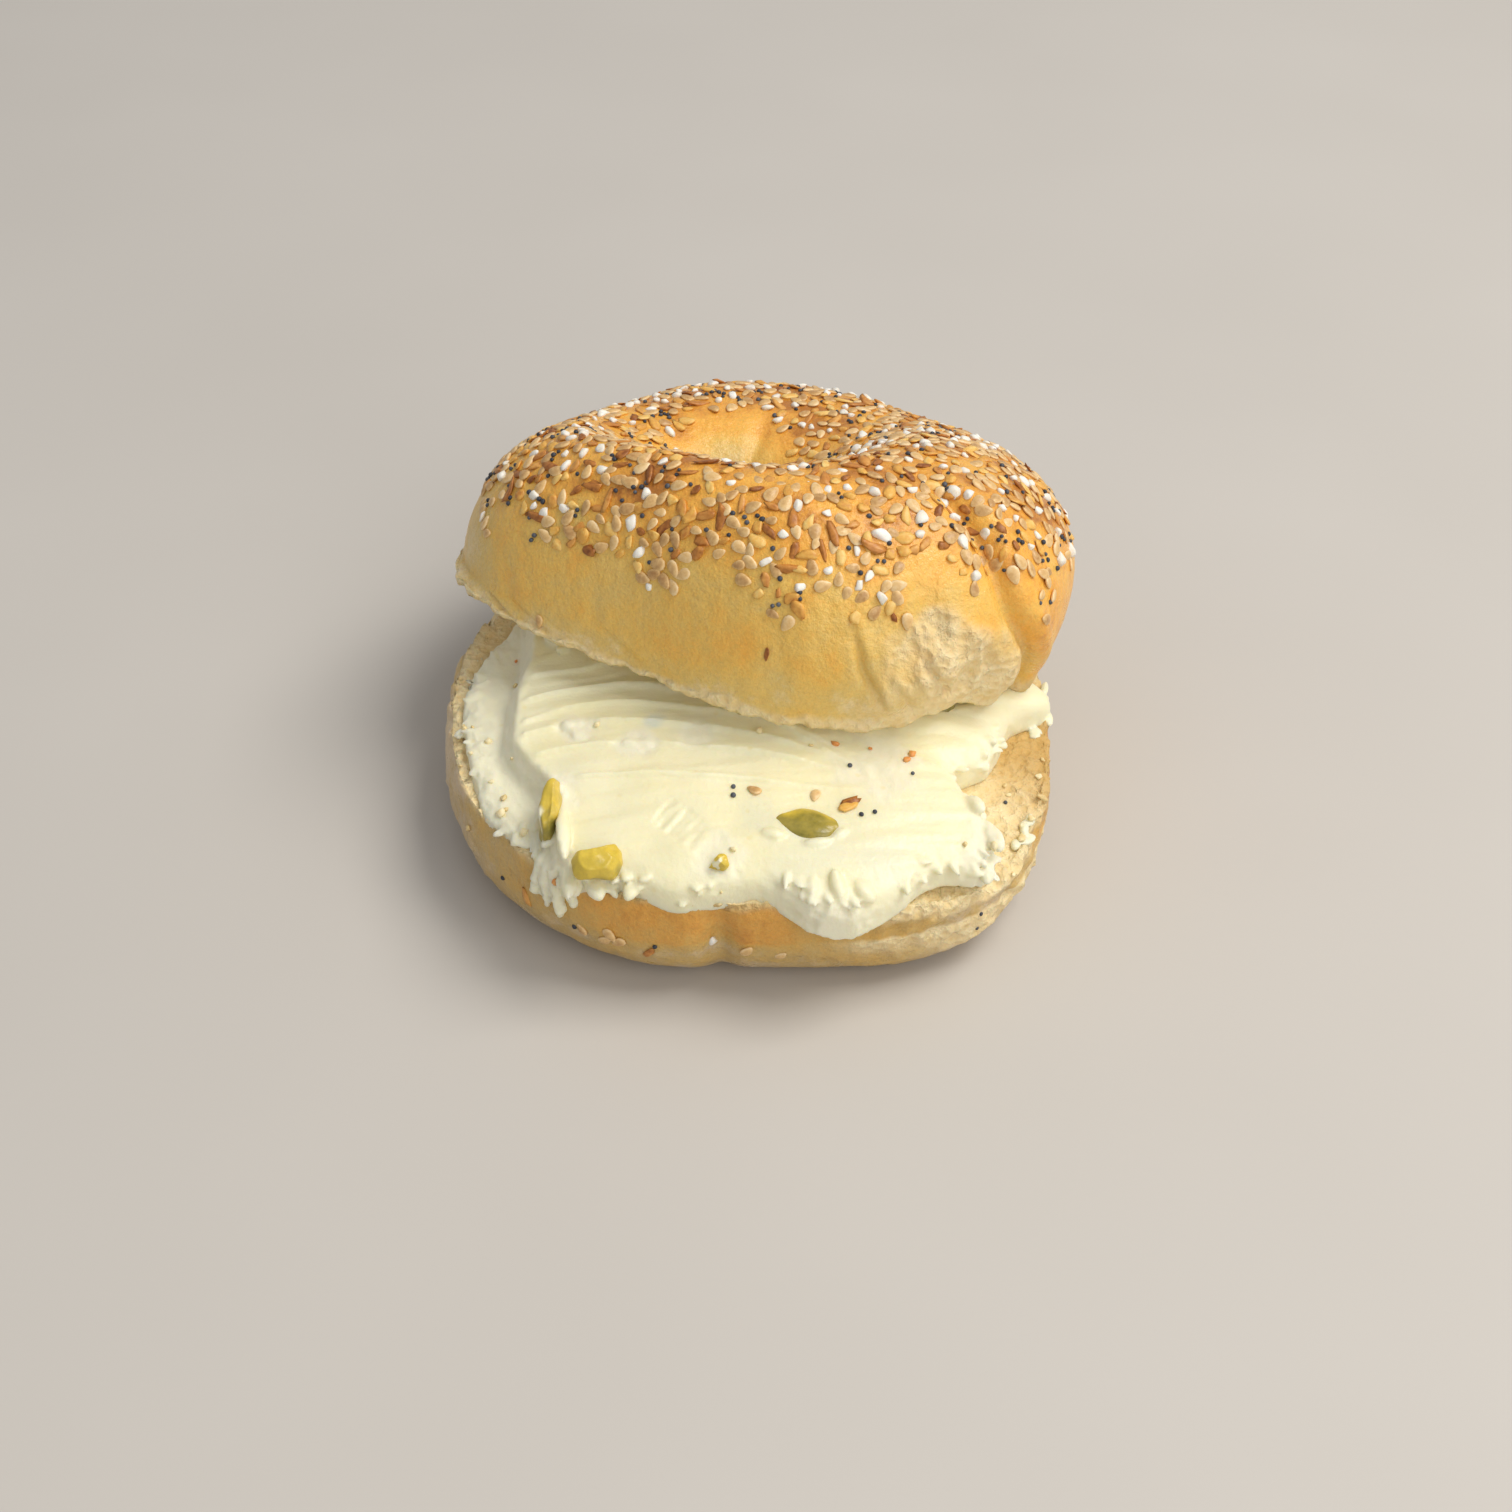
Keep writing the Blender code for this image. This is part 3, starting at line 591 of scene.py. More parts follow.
def crownBrowned(angle, up, point):
    # how far each place is baked: pale low on the wall, toasted on the crest and past the seam
    rollSide = smooth(-2.0, 3.0, wrapped(angle - crown["seamDirection"]))
    rollSide *= 1.0 - smooth(90.0, 150.0, angle)
    front = 0.20 + 0.26 * smooth(-0.7, 0.20, up) + 0.42 * smooth(0.20, 0.75, up)
    front -= 0.12 * hump(angle, -165.0, 45.0) * (1.0 - smooth(0.3, 0.8, up))
    roll = 0.60 + 0.24 * smooth(-0.6, 0.6, up)
    tone = front * (1.0 - rollSide) + roll * rollSide
    if up > 1.0:
        tone = 0.86 - 0.56 * smooth(1.05, 1.75, up) + 0.16 * hump(angle, 62.0, 22.0)
    return tone + layered(point, crown["bakedUneven"])


def crownFine(angle, up, point, torn):
    # how far the fine relief pushes the skin out
    if up > 2.9:  # the open crumb of the cut face
        return layered(point, crown["cutRelief"]) - 0.0003
    out = layered(point, crown["skinRelief"])
    if up < 1.0:
        for direction, lean, depth, width, low, high in crown["creases"]:
            off = wrapped(angle - direction - lean * (up + 1.0))
            if abs(off) < 4.0 * width:
                window = smooth(low, low + 0.25, up) * (1.0 - smooth(high - 0.3, high, up))
                out -= depth * window * bellAt(off, 0.0, width)
                out += 0.4 * depth * window * bellAt(off, 2.0 * width, 1.3 * width)
        past = wrapped(angle - crown["seamDirection"])
        upward = 1.0 - smooth(0.55, 0.95, up)
        out += upward * (0.0007 * bellAt(past, 3.2, 2.2) - 0.0008 * bellAt(past, 0.0, 0.9))
    wing, spread, reach = crown["wing"]
    if up < 0.2:
        ragged = 1.0 + 0.9 * waves(point, 0.0035, 77.0)
        out += reach * ragged * hump(angle, wing, spread) * (1.0 - smooth(-0.80, 0.10, up))
    if up > 1.1:
        out -= 0.0009 * hump(angle, 80.0, 5.0) * smooth(1.1, 1.4, up)
    if torn > 0.0:
        pulled = (point.x, point.y, 0.6 * point.z)
        piled = layered(pulled, crown["tornFolds"]) + layered(point, crown["tornGrain"])
        out += torn * (piled + 0.0002) * (1.0 - 0.75 * bellAt(up, -1.0, 0.30))
    lip = bellAt(up, -1.0, 0.16) if up < 0.0 else 0.0
    out += lip * (layered(point, crown["lipRelief"]) + 0.0003)
    return out


def buildCrown(look):
    piece, places = ringMesh("bagelCrown", crown, crownPoint)
    points = [vertex.co.copy() for vertex in piece.data.vertices]
    ups = [crownUp(angle, turn) for angle, turn in places]
    torn = [crownTorn(angle, up, point) for (angle, _), up, point in zip(places, ups, points)]
    browned = [crownBrowned(angle, up, point) for (angle, _), up, point in zip(places, ups, points)]
    pushOut(piece, [crownFine(a, up, p, t) for (a, _), up, p, t in zip(places, ups, points, torn)])
    paint(piece, "crumb", torn)
    paint(piece, "browned", browned)
    settle(piece, Matrix.Translation(standAt) @ crownTurn())
    dress(piece, look, "bagel_crust", ("crown",))
    return piece, [angle for angle, _ in places], ups


# heel: the lower half, cut side up
heel = {
    "at": Vector((-0.0015, -0.0105, 0.0)),
    "halfWidth": 0.0563,
    "halfDepth": 0.0546,
    "squareness": 2.45,
    "bumps": ((-52.0, 20.0, 0.0035), (-140.0, 26.0, -0.0020), (-112.0, 20.0, 0.0010)),
    "thick": 0.0215,
    "widestAt": 0.0135,
    "hole": 0.0095,
    "holeFlare": 0.0060,
    "baseInset": 0.0125,
    "rimWidth": 0.0015,
    "foldDirection": -95.0,
    "foldDepth": 0.0032,
    "tornDirection": -44.0,
    "tornSpread": 27.0,
    "tornDrop": 0.0035,
    "roll": 0.0011,
    "rollLength": 0.024,
    "segments": 480,
    "steps": {"rim": 14, "face": 34, "hole": 10, "base": 12, "side": 30},
    "frontDense": 0.40,
    "skinRelief": ((waves, 0.00018, 0.0070, 91.0), (waves, 0.00008, 0.0024, 93.0)),
    "leftLumps": ((waves, 0.0010, 0.0105, 95.0), (lumps, 0.0005, 0.0060, 97.0)),
    "tornFolds": ((waves, 0.0014, 0.0090, 99.0), (lumps, 0.0006, 0.0045, 101.0)),
    "crumbGrain": (
        (lumps, 0.00040, 0.0044, 103.0),
        (lumps, 0.00026, 0.0019, 105.0),
        (lumps, 0.0003, 0.0009, 107.0),
    ),
    "bakedUneven": ((waves, 0.16, 0.012, 85.0), (waves, 0.08, 0.004, 87.0)),
}


def heelReach(angle):
    return outline(angle, heel)


def heelSection(angle, turn):
    reach = heelReach(angle)
    baseEdge = reach - heel["baseInset"]
    holeFoot = heel["hole"] + heel["holeFlare"]
    rim = reach - heel["rimWidth"]
    top = heel["thick"] - heel["tornDrop"] * hump(angle, heel["tornDirection"], heel["tornSpread"])
    stretch, share = stretchOf(turn, heel["steps"])
    rise = math.sin(share * math.pi / 2.0)
    run = math.cos(share * math.pi / 2.0)
    if stretch == "rim":
        return rim + (reach - rim) * run, heel["widestAt"] + (top - heel["widestAt"]) * rise
    if stretch == "face":
        return rim + (heel["hole"] - rim) * share, top + (heel["thick"] - top) * min(1.0, 3.0 * share)
    if stretch == "hole":
        return heel["hole"] + heel["holeFlare"] * (1.0 - run), heel["thick"] * (1.0 - rise)
    if stretch == "base":
        return holeFoot + (baseEdge - holeFoot) * share, 0.0
    return baseEdge + heel["baseInset"] * rise, heel["widestAt"] * (1.0 - run)


def heelPoint(angle, turn):
    radius, height = heelSection(angle, turn)
    stretch, share = stretchOf(turn, heel["steps"])
    turned = math.radians(angle)
    flat = Vector((radius * math.cos(turned), radius * math.sin(turned), height))
    outside = {"rim": 1.0 - share, "side": share}.get(stretch, 0.0)
    rough = heel["roll"] * waves(flat, heel["rollLength"], 11.0)
    rough -= hump(angle, heel["foldDirection"], 3.0) * heel["foldDepth"]
    return flat + outwardAt(angle) * rough * outside


def heelCrumb(angle, stretch, share, point):
    torn = hump(angle, heel["tornDirection"], heel["tornSpread"])
    if stretch in ("face", "hole"):
        return 1.0
    left = hump(angle, 180.0, 34.0)
    if stretch == "rim":
        return smooth(0.62, 0.9, share + 0.25 * waves(point, 0.006, 81.0) + 0.5 * torn - 0.4 * left)
    if stretch == "side":
        return smooth(0.50, 0.80, share * (0.30 + 0.85 * torn) + 0.18 * waves(point, 0.008, 83.0))
    return 0.0


def heelBrowned(angle, stretch, share, point):
    golden = hump(angle, -100.0, 32.0)
    tone = 0.26 + 0.08 * golden + 0.08 * hump(angle, 10.0, 60.0)
    torn = hump(angle, heel["tornDirection"], heel["tornSpread"])
    tone -= 0.18 * hump(angle, 180.0, 45.0) + 0.20 * torn
    if stretch == "rim":
        tone += 0.34 * golden
    if stretch == "side":
        tone += golden * (0.34 * smooth(0.84, 1.0, share) - 0.12) + 0.06 * share - 0.06
    if stretch in ("rim", "face"):
        tone += 0.60 * hump(angle, -12.0, 20.0)
    if stretch == "base":
        tone = 0.75
    return tone + layered(point, heel["bakedUneven"])


def heelFine(angle, stretch, share, point, crumb):
    out = layered(point, heel["skinRelief"])
    if stretch == "base":
        return 0.0
    left = hump(angle, 180.0, 50.0)
    torn = hump(angle, heel["tornDirection"], heel["tornSpread"])
    if stretch in ("rim", "side"):
        near = {"rim": 1.0, "side": smooth(0.2, 0.9, share)}[stretch]
        out += near * left * layered(point, heel["leftLumps"])
        out += near * torn * layered(point, heel["tornFolds"])
    if crumb > 0.0:
        edge = {"rim": share, "face": 1.0 - smooth(0.0, 0.2, share)}.get(stretch, 0.3)
        out += crumb * edge * layered(point, heel["crumbGrain"])
    if stretch == "side":
        out *= smooth(0.0, 0.3, share)
    return out


def buildHeel(look):
    piece, places = ringMesh("bagelHeel", heel, heelPoint)
    rows = []
    for vertex, (angle, turn) in zip(piece.data.vertices, places):
        stretch, share = stretchOf(turn, heel["steps"])
        point = vertex.co.copy()
        crumb = heelCrumb(angle, stretch, share, point)
        tone = heelBrowned(angle, stretch, share, point)
        rows.append((crumb, tone, heelFine(angle, stretch, share, point, crumb)))
    pushOut(piece, [fine for _, _, fine in rows])
    paint(piece, "crumb", [crumb for crumb, _, _ in rows])
    paint(piece, "browned", [tone for _, tone, _ in rows])
    settle(piece, Matrix.Translation(standAt + heel["at"]))
    dress(piece, look, "bagel_crust", ("heel",))
    return piece


# cream cheese: a thick spread that reaches over the rim at the front
cream = {
    "reach": 0.0480,
    "thick": 0.0098,
    "edgeThick": 0.0014,
    "sag": 0.0040,
    "bumps": (
        (-176.0, 26.0, 0.0042),
        (-140.0, 18.0, 0.0072),
        (-121.0, 7.0, 0.0050),
        (-104.0, 14.0, 0.0075),
        (-68.0, 17.0, 0.0120),
        (-47.5, 8.0, 0.0110),
        (-77.0, 6.0, 0.0030),
        (-36.0, 6.0, -0.0050),
        (-3.0, 6.0, 0.0080),
    ),
    "shoulderX": -0.0424,
    "shoulderDrop": 0.0060,
    "underCrown": 0.0050,
    "segments": 360,
    "rings": 150,
    "voxel": 0.00046,
    # where each knife ridge lies at the shoulder, at its highest and at the right
    "ridges": (
        (-0.0140, -0.0115, -0.0215, 0.00075),
        (-0.0204, -0.0176, -0.0295, 0.00100),
        (-0.0264, -0.0226, -0.0300, 0.00080),
        (-0.0301, -0.0277, -0.0333, 0.00100),
        (-0.0359, -0.0336, -0.0370, 0.00090),
        (-0.0430, -0.0412, -0.0432, 0.00085),
    ),
    "curdledPatches": (  # across, along, radius, strength
        (0.0215, -0.0390, 0.0085, 0.8),
        (-0.0320, -0.0290, 0.0040, 0.9),
        (-0.0205, -0.0337, 0.0042, 0.9),
        (-0.0100, -0.0315, 0.0036, 0.7),
        (0.0130, -0.0740, 0.0050, 1.0),
        (0.0400, -0.0560, 0.0060, 0.9),
        (-0.0300, -0.0660, 0.0055, 1.0),
        (-0.0350, -0.0450, 0.0050, 1.0),
        (-0.0060, -0.0590, 0.0050, 0.7),
    ),
    "greyPatches": (  # where an olive piece shows through
        (-0.0179, -0.0280, 0.0022, 0.55),
        (0.0215, -0.0600, 0.0050, 0.22),
        (0.0085, -0.0575, 0.0075, 0.16),
        (0.0000, -0.0510, 0.0040, 0.20),
    ),
    "imprint": ((-0.0128, -0.0523), 0.0052),
    "fraySizes": ((0.0022, 0.0060), (0.0012, 0.0026), (0.0007, 0.0011)),  # along, across and through
    "frays": (  # direction, spread, how thickly the edge frays there
        (-165.0, 22.0, 0.30),
        (-130.0, 9.0, 0.8),
        (-112.0, 5.0, 0.3),
        (-98.0, 5.0, 0.2),
        (-77.0, 7.0, 0.9),
        (-60.0, 5.0, 0.4),
        (-46.0, 7.0, 0.8),
        (-24.0, 10.0, 0.5),
    ),
}


def shoulderAt(y):
    return cream["shoulderX"] + 0.0016 * smooth(-0.018, -0.005, y) + 0.0090 * smooth(0.028, 0.046, -y)


def creamReach(angle):
    bumps = (rise * hump(angle, centre, spread) for centre, spread, rise in cream["bumps"])
    return cream["reach"] + sum(bumps)


def creamPoint(angle, up):
    reach = creamReach(angle)
    polar = abs(up)
    share = math.sqrt(1.0 - polar * polar)
    turned = math.radians(angle)
    x = heel["at"].x + reach * share * math.cos(turned)
    y = heel["at"].y + reach * share * math.sin(turned)
    over = max(0.0, reach - (heelReach(angle) - 0.0040))
    edge = heel["thick"] + cream["edgeThick"] - 0.6 * over
    if up < 0.0:
        low = heel["thick"] - cream["sag"]
        return Vector((x, y, edge + (min(low, edge - 0.001) - edge) * polar**0.5))
    top = heel["thick"] + cream["thick"] + 0.0009 * waves((x, y, 0.0), 0.016, 5.0)
    top -= cream["shoulderDrop"] * smooth(0.0, 0.004, shoulderAt(y) - x)
    off = Vector((x - crown["at"].x, y - crown["at"].y, 0.0))
    inside = crownReach(math.degrees(math.atan2(off.y, off.x))) - off.length
    top += cream["underCrown"] * smooth(0.002, 0.016, inside)
    height = edge + (top - edge) * polar**0.5
    if inside > -0.003:
        height = min(height, crownCutHeight(x, y) - 1.2 * touchGap)
    return Vector((x, y, height))


def heelTop(x, y):
    # height of the heel's cut over a place on the ground
    off = Vector((x - heel["at"].x, y - heel["at"].y))
    angle = math.degrees(math.atan2(off.y, off.x))
    inward = max(0.0, 1.0 - off.length / heelReach(angle))
    torn = hump(angle, heel["tornDirection"], heel["tornSpread"])
    return heel["thick"] - heel["tornDrop"] * torn * (1.0 - min(1.0, 3.0 * inward))


def frayAt(angle):
    return min(1.0, sum(share * hump(angle, centre, spread) for centre, spread, share in cream["frays"]))


def creamTop(x, y):
    # a point of the plain spread over a place on the ground
    off = Vector((x - heel["at"].x, y - heel["at"].y))
    angle = math.degrees(math.atan2(off.y, off.x))
    share = min(0.999, off.length / creamReach(angle))
    return creamPoint(angle, math.sqrt(1.0 - share * share))


def ridgeAt(ridge, x):
    start, top, right, _ = ridge
    if x < -0.025:
        return top + (start - top) * min(1.5, (-0.025 - x) / 0.017) ** 2
    return top + (right - top) * ((x + 0.025) / 0.029) ** 1.6


def creamRelief(point, normal):
    x, y, _ = point
    top = smooth(0.25, 0.7, normal.z)
    off = Vector((x - heel["at"].x, y - heel["at"].y))
    angle = math.degrees(math.atan2(off.y, off.x))
    toEdge = creamReach(angle) - off.length
    edge = 1.0 - smooth(0.0008, 0.0055, toEdge)
    right = x - shoulderAt(y)
    smear = 1.0 - smooth(-0.0012, 0.0004, right)
    curdled = max(0.8 * smear, (0.08 + 0.85 * frayAt(angle)) * edge)
    for across, along, radius, strength in cream["curdledPatches"]:
        far = math.hypot(x - across, y - along) / radius
        if far < 2.0:
            ragged = far + 0.45 * waves(point, 0.0040, 121.0)
            curdled = max(curdled, strength * (1.0 - smooth(0.55, 1.15, ragged)))
    out = 0.0
    fade = smooth(0.0, 0.0016, right) * (1.0 - smooth(0.000, 0.024, x)) * (1.0 - 0.8 * curdled) * top
    if fade > 0.0:
        for ridge in cream["ridges"]:
            away = y - ridgeAt(ridge, x) - 0.0005 * waves((x * 0.3, y * 0.3, ridge[0]), 0.004, 123.0)
            if away > 0.0:
                out += fade * ridge[3] * math.exp(-away / 0.0020)
            elif away > -0.002:
                out += fade * ridge[3] * math.exp(away / 0.00030)
    if top > 0.0 and abs(right) < 0.003:
        out += 0.0004 * top * math.exp(-((right / 0.0009) ** 2)) * (1.0 + waves(point, 0.003, 125.0))
    calm = (1.0 - curdled) * top
    out += calm * 0.00034 * waves((0.16 * x + 0.05 * y, y - 0.10 * x, 0.0), 0.0030, 127.0)
    out += calm * 0.00012 * waves((0.12 * x, y - 0.10 * x, 0.0), 0.0011, 128.0)
    out += calm * 0.00030 * waves(point, 0.0085, 129.0)
    dragged = (x + 0.4 * y, 0.5 * y, point.z)
    piled = 0.00034 * lumps(dragged, 0.0036, 131.0) + 0.00018 * lumps(dragged, 0.0017, 133.0)
    out += curdled * (piled + 0.00008 * lumps(point, 0.0009, 135.0)) * (0.45 + 0.55 * edge)
    (middleX, middleY), size = cream["imprint"]
    aside = abs(x - middleX + 0.35 * (y - middleY)) / size + abs(y - middleY) / (1.25 * size)
    if aside < 1.0 and top > 0.0:
        flaky = waves((0.22 * (x + 0.8 * y), x - 0.8 * y, 0.0), 0.0012, 137.0)
        out += top * smooth(1.0, 0.8, aside) * (0.00034 * flaky - 0.00016)
    grey = 0.0
    for across, along, radius, strength in cream["greyPatches"]:
        far = math.hypot(x - across, y - along) / radius
        if far < 2.0:
            grey = max(grey, strength * (1.0 - smooth(0.3, 1.2, far + 0.3 * waves(point, 0.003, 139.0))))
    return out, curdled, grey


creamTufts = (  # across, along, lift over the spread, size along, across and through, turn, tilt
    (-0.0327, -0.0610, 0.0000, 0.0120, 0.0030, 0.0034, -88.0, -12.0),
    (-0.0310, -0.0680, -0.0005, 0.0070, 0.0034, 0.0030, -70.0, -20.0),
    (-0.0338, -0.0665, -0.0010, 0.0060, 0.0020, 0.0020, -110.0, -20.0),
    (-0.0285, -0.0695, -0.0012, 0.0055, 0.0018, 0.0018, -60.0, -25.0),
    (-0.0360, -0.0640, -0.0012, 0.0050, 0.0018, 0.0018, -125.0, -20.0),
    (0.0092, -0.0655, 0.0000, 0.0050, 0.0026, 0.0020, -95.0, -25.0),
    (0.0135, -0.0650, 0.0002, 0.0060, 0.0024, 0.0020, -75.0, -30.0),
    (0.0180, -0.0655, 0.0000, 0.0050, 0.0030, 0.0020, -60.0, -20.0),
    (0.0400, -0.0520, 0.0004, 0.0090, 0.0032, 0.0026, -70.0, 0.0),
    (0.0412, -0.0590, 0.0000, 0.0060, 0.0026, 0.0022, -100.0, -10.0),
    (0.0375, -0.0465, 0.0006, 0.0050, 0.0028, 0.0026, -60.0, 10.0),
    (0.0028, -0.0550, 0.0001, 0.0042, 0.0022, 0.0014, -15.0, 0.0),
    (0.0104, -0.0565, 0.0001, 0.0050, 0.0022, 0.0014, 12.0, 0.0),
    (0.0142, -0.0545, 0.0001, 0.0032, 0.0018, 0.0012, 35.0, 0.0),
    (-0.0325, -0.0275, -0.0001, 0.0046, 0.0032, 0.0014, 20.0, 0.0),
    (-0.0314, -0.0300, -0.0002, 0.0054, 0.0030, 0.0013, -60.0, 0.0),
    (-0.0205, -0.0337, -0.0001, 0.0060, 0.0030, 0.0010, -12.0, 0.0),
    (-0.0372, -0.0052, 0.0006, 0.0058, 0.0020, 0.0020, -40.0, 0.0),
    (-0.0352, -0.0070, 0.0004, 0.0040, 0.0018, 0.0016, 30.0, 0.0),
    (-0.0345, -0.0440, 0.0010, 0.0040, 0.0026, 0.0022, -50.0, 0.0),
    (-0.0325, -0.0540, 0.0012, 0.0130, 0.0024, 0.0030, -85.0, 0.0),
    (-0.0375, -0.0470, 0.0000, 0.0040, 0.0022, 0.0020, -120.0, 0.0),
    (-0.0220, -0.0660, 0.0000, 0.0060, 0.0030, 0.0022, -110.0, -10.0),
)


dribbleDrops = 12  # drops that make up one dribble
dribbles = (  # direction at the spread's edge and at the tip, height of the tip, thickness
    (-128.0, -129.0, 0.0162, 0.0028),
    (-126.8, -126.4, 0.0148, 0.0030),
    (-125.4, -123.4, 0.0140, 0.0032),
    (-124.2, -120.8, 0.0178, 0.0026),
    (-79.5, -78.4, 0.0188, 0.0022),
    (-76.0, -75.4, 0.0158, 0.0026),
    (-73.5, -72.6, 0.0152, 0.0022),
)

creamSmears = (  # thin smears on the heel's rim: from, to, how many dabs, size of a dab
    ((0.0530, -0.0140), (0.0515, -0.0200), 3, 0.0036),
    ((0.0490, -0.0400), (0.0440, -0.0500), 4, 0.0030),
    ((0.0535, -0.0110), (0.0550, -0.0050), 5, 0.0034),
    ((-0.0525, 0.0020), (-0.0530, -0.0100), 3, 0.0028),
)


def creamLumps(draw):
    # middle, size, turn and tilt of every tuft, fray and dab that is melted into the spread
    for x, y, lift, long, wide, tall, turn, tilt in creamTufts:
        yield creamTop(x, y) + Vector((0.0, 0.0, lift)), (long, wide, tall), turn, tilt
    for angle in np.arange(-190.0, 0.0, 0.7):
        if draw.random() < frayAt(angle):
            reach = creamReach(angle) - draw.uniform(-0.0002, 0.0020) - 0.0022 * hump(angle, -77.0, 8.0)
            turned = math.radians(angle)
            x = heel["at"].x + reach * math.cos(turned)
            y = heel["at"].y + reach * math.sin(turned)
            size = [draw.uniform(*ends) for ends in cream["fraySizes"]]
            lift = Vector((0.0, 0.0, draw.uniform(-0.0010, 0.0002)))
            yield creamTop(x, y) + lift, size, angle + draw.uniform(-40.0, 40.0), draw.uniform(-25.0, 5.0)
    for (x, y), (toX, toY), count, size in creamSmears:
        along = math.degrees(math.atan2(toY - y, toX - x))
        for step in range(count):
            share = (step + draw.uniform(-0.3, 0.3)) / count
            nearX = x + (toX - x) * share + draw.uniform(-0.0010, 0.0010)
            nearY = y + (toY - y) * share + draw.uniform(-0.0010, 0.0010)
            middle = Vector((nearX, nearY, heelTop(nearX, nearY) + draw.uniform(-0.0002, 0.0004)))
            long = size * draw.uniform(0.8, 1.4)
            wide = size * draw.uniform(0.4, 0.7)
            yield middle, (long, wide, 0.0013), along + draw.uniform(-30.0, 30.0), 0.0


def creamDribbles(draw):
    # drops strung along the heel's top and then down its wall
    for start, tip, height, thick in dribbles:
        for drop in range(dribbleDrops):
            share = drop / (dribbleDrops - 1)
            angle = start + (tip - start) * share + draw.uniform(-0.3, 0.3)
            if share < 0.4:
                inner = creamReach(angle) - 0.002
                radius = inner + (heelReach(angle) - heel["rimWidth"] - inner) * share / 0.4
                level = heel["thick"] + 0.0008
            else:
                level = heel["thick"] + (height - heel["thick"]) * (share - 0.4) / 0.6
                rise = min(1.0, (level - heel["widestAt"]) / (heel["thick"] - heel["widestAt"]))
                radius = heelReach(angle) - heel["rimWidth"] * (1.0 - math.sqrt(1.0 - rise * rise))
            size = thick * (1.0 - 0.45 * share) * draw.uniform(0.85, 1.2)
            middle = heel["at"] + outwardAt(angle) * radius + Vector((0.0, 0.0, level))
            yield middle, (1.5 * size, size, 1.3 * size), angle, -60.0 * share


def buildCream(look):
    bpy.ops.mesh.primitive_uv_sphere_add(
        segments=cream["segments"], ring_count=cream["rings"], radius=1.0
    )
    piece = bpy.context.object
    piece.name = "creamSpread"
    piece.data.name = "creamSpread"
    for vertex in piece.data.vertices:
        x, y, z = vertex.co
        vertex.co = creamPoint(math.degrees(math.atan2(y, x)), max(-1.0, min(1.0, z)))
    points = [vertex.co[:] for vertex in piece.data.vertices]
    faces = [polygon.vertices[:] for polygon in piece.data.polygons]
    lumped = [*creamLumps(random.Random(17)), *creamDribbles(random.Random(19))]
    for middle, size, turn, tilt in lumped:
        turned = Euler((0.0, math.radians(-tilt), math.radians(turn))).to_matrix()
        first = len(points)
        around = tuftShape[0] * size @ np.array(turned).T + np.array(middle)
        points.extend(around.tolist())
        faces.extend([first + index for index in face] for face in tuftShape[1])
    piece.data.clear_geometry()
    piece.data.from_pydata(points, [], faces)
    piece.data.remesh_voxel_size = cream["voxel"]
    piece.data.use_remesh_fix_poles = False
    bpy.ops.object.voxel_remesh()
    soften = piece.modifiers.new("soften", "SMOOTH")
    soften.factor = 0.5
    soften.iterations = 3
    bpy.ops.object.modifier_apply(modifier=soften.name)
    facing = readNormals(piece.data)
    rows = [creamRelief(vertex.co, Vector(way)) for vertex, way in zip(piece.data.vertices, facing)]
    pushOut(piece, [out for out, _, _ in rows])
    paint(piece, "curdled", [curdled for _, curdled, _ in rows])
    paint(piece, "greyed", [grey for _, _, grey in rows])
    settle(piece, Matrix.Translation(standAt))
    dress(piece, look, "cream_cheese", ("cream_cheese",))
    return piece


# olive pieces
olives = {
    "oliveTall": {
        "node": "olive_tall",
        "middle": (-0.0348, -0.0485, 0.0277),
        "size": (0.0044, 0.0110, 0.0103),
        "turn": (20.0, 0.0, -10.0),
        "boxiness": 2.5,
        "flesh": 0.55,  # how much of it is cut flesh
        "smeared": -0.30,  # how much cream sticks to it, none where this is left out
        "cuts": 5,  # which set of flat cuts, none where this is left out
    },
    "oliveFrontLeft": {
        "node": "olive_front_left",
        "middle": (-0.0266, -0.0600, 0.0268),
        "size": (0.0084, 0.0072, 0.0086),
        "turn": (22.0, 24.0, 38.0),
        "boxiness": 2.2,
        "flesh": 0.8,
        "smeared": -0.70,
        "cuts": 21,
    },
    "oliveMiddle": {
        "node": "olive_middle",
        "middle": (0.0083, -0.0522, 0.0284),
        "size": (0.0124, 0.0074, 0.0030),
        "turn": (3.0, 2.0, -8.0),
        "boxiness": 2.2,
        "flesh": 0.12,
        "pointed": 0.4,
    },
    "oliveSmall": {
        "node": "olive_small",
        "middle": (-0.0063, -0.0608, 0.0275),
        "size": (0.0034, 0.0028, 0.0044),
        "turn": (30.0, 0.0, 20.0),
        "boxiness": 2.8,
        "flesh": 1.0,
        "smeared": -0.10,
        "cuts": 11,
    },
    "oliveBack": {
        "node": "olive_back",
        "middle": (0.0333, -0.0228, 0.0300),
        "size": (0.0044, 0.0042, 0.0046),
        "turn": (0.0, 20.0, 30.0),
        "boxiness": 2.6,
        "flesh": 0.0,
    },
}


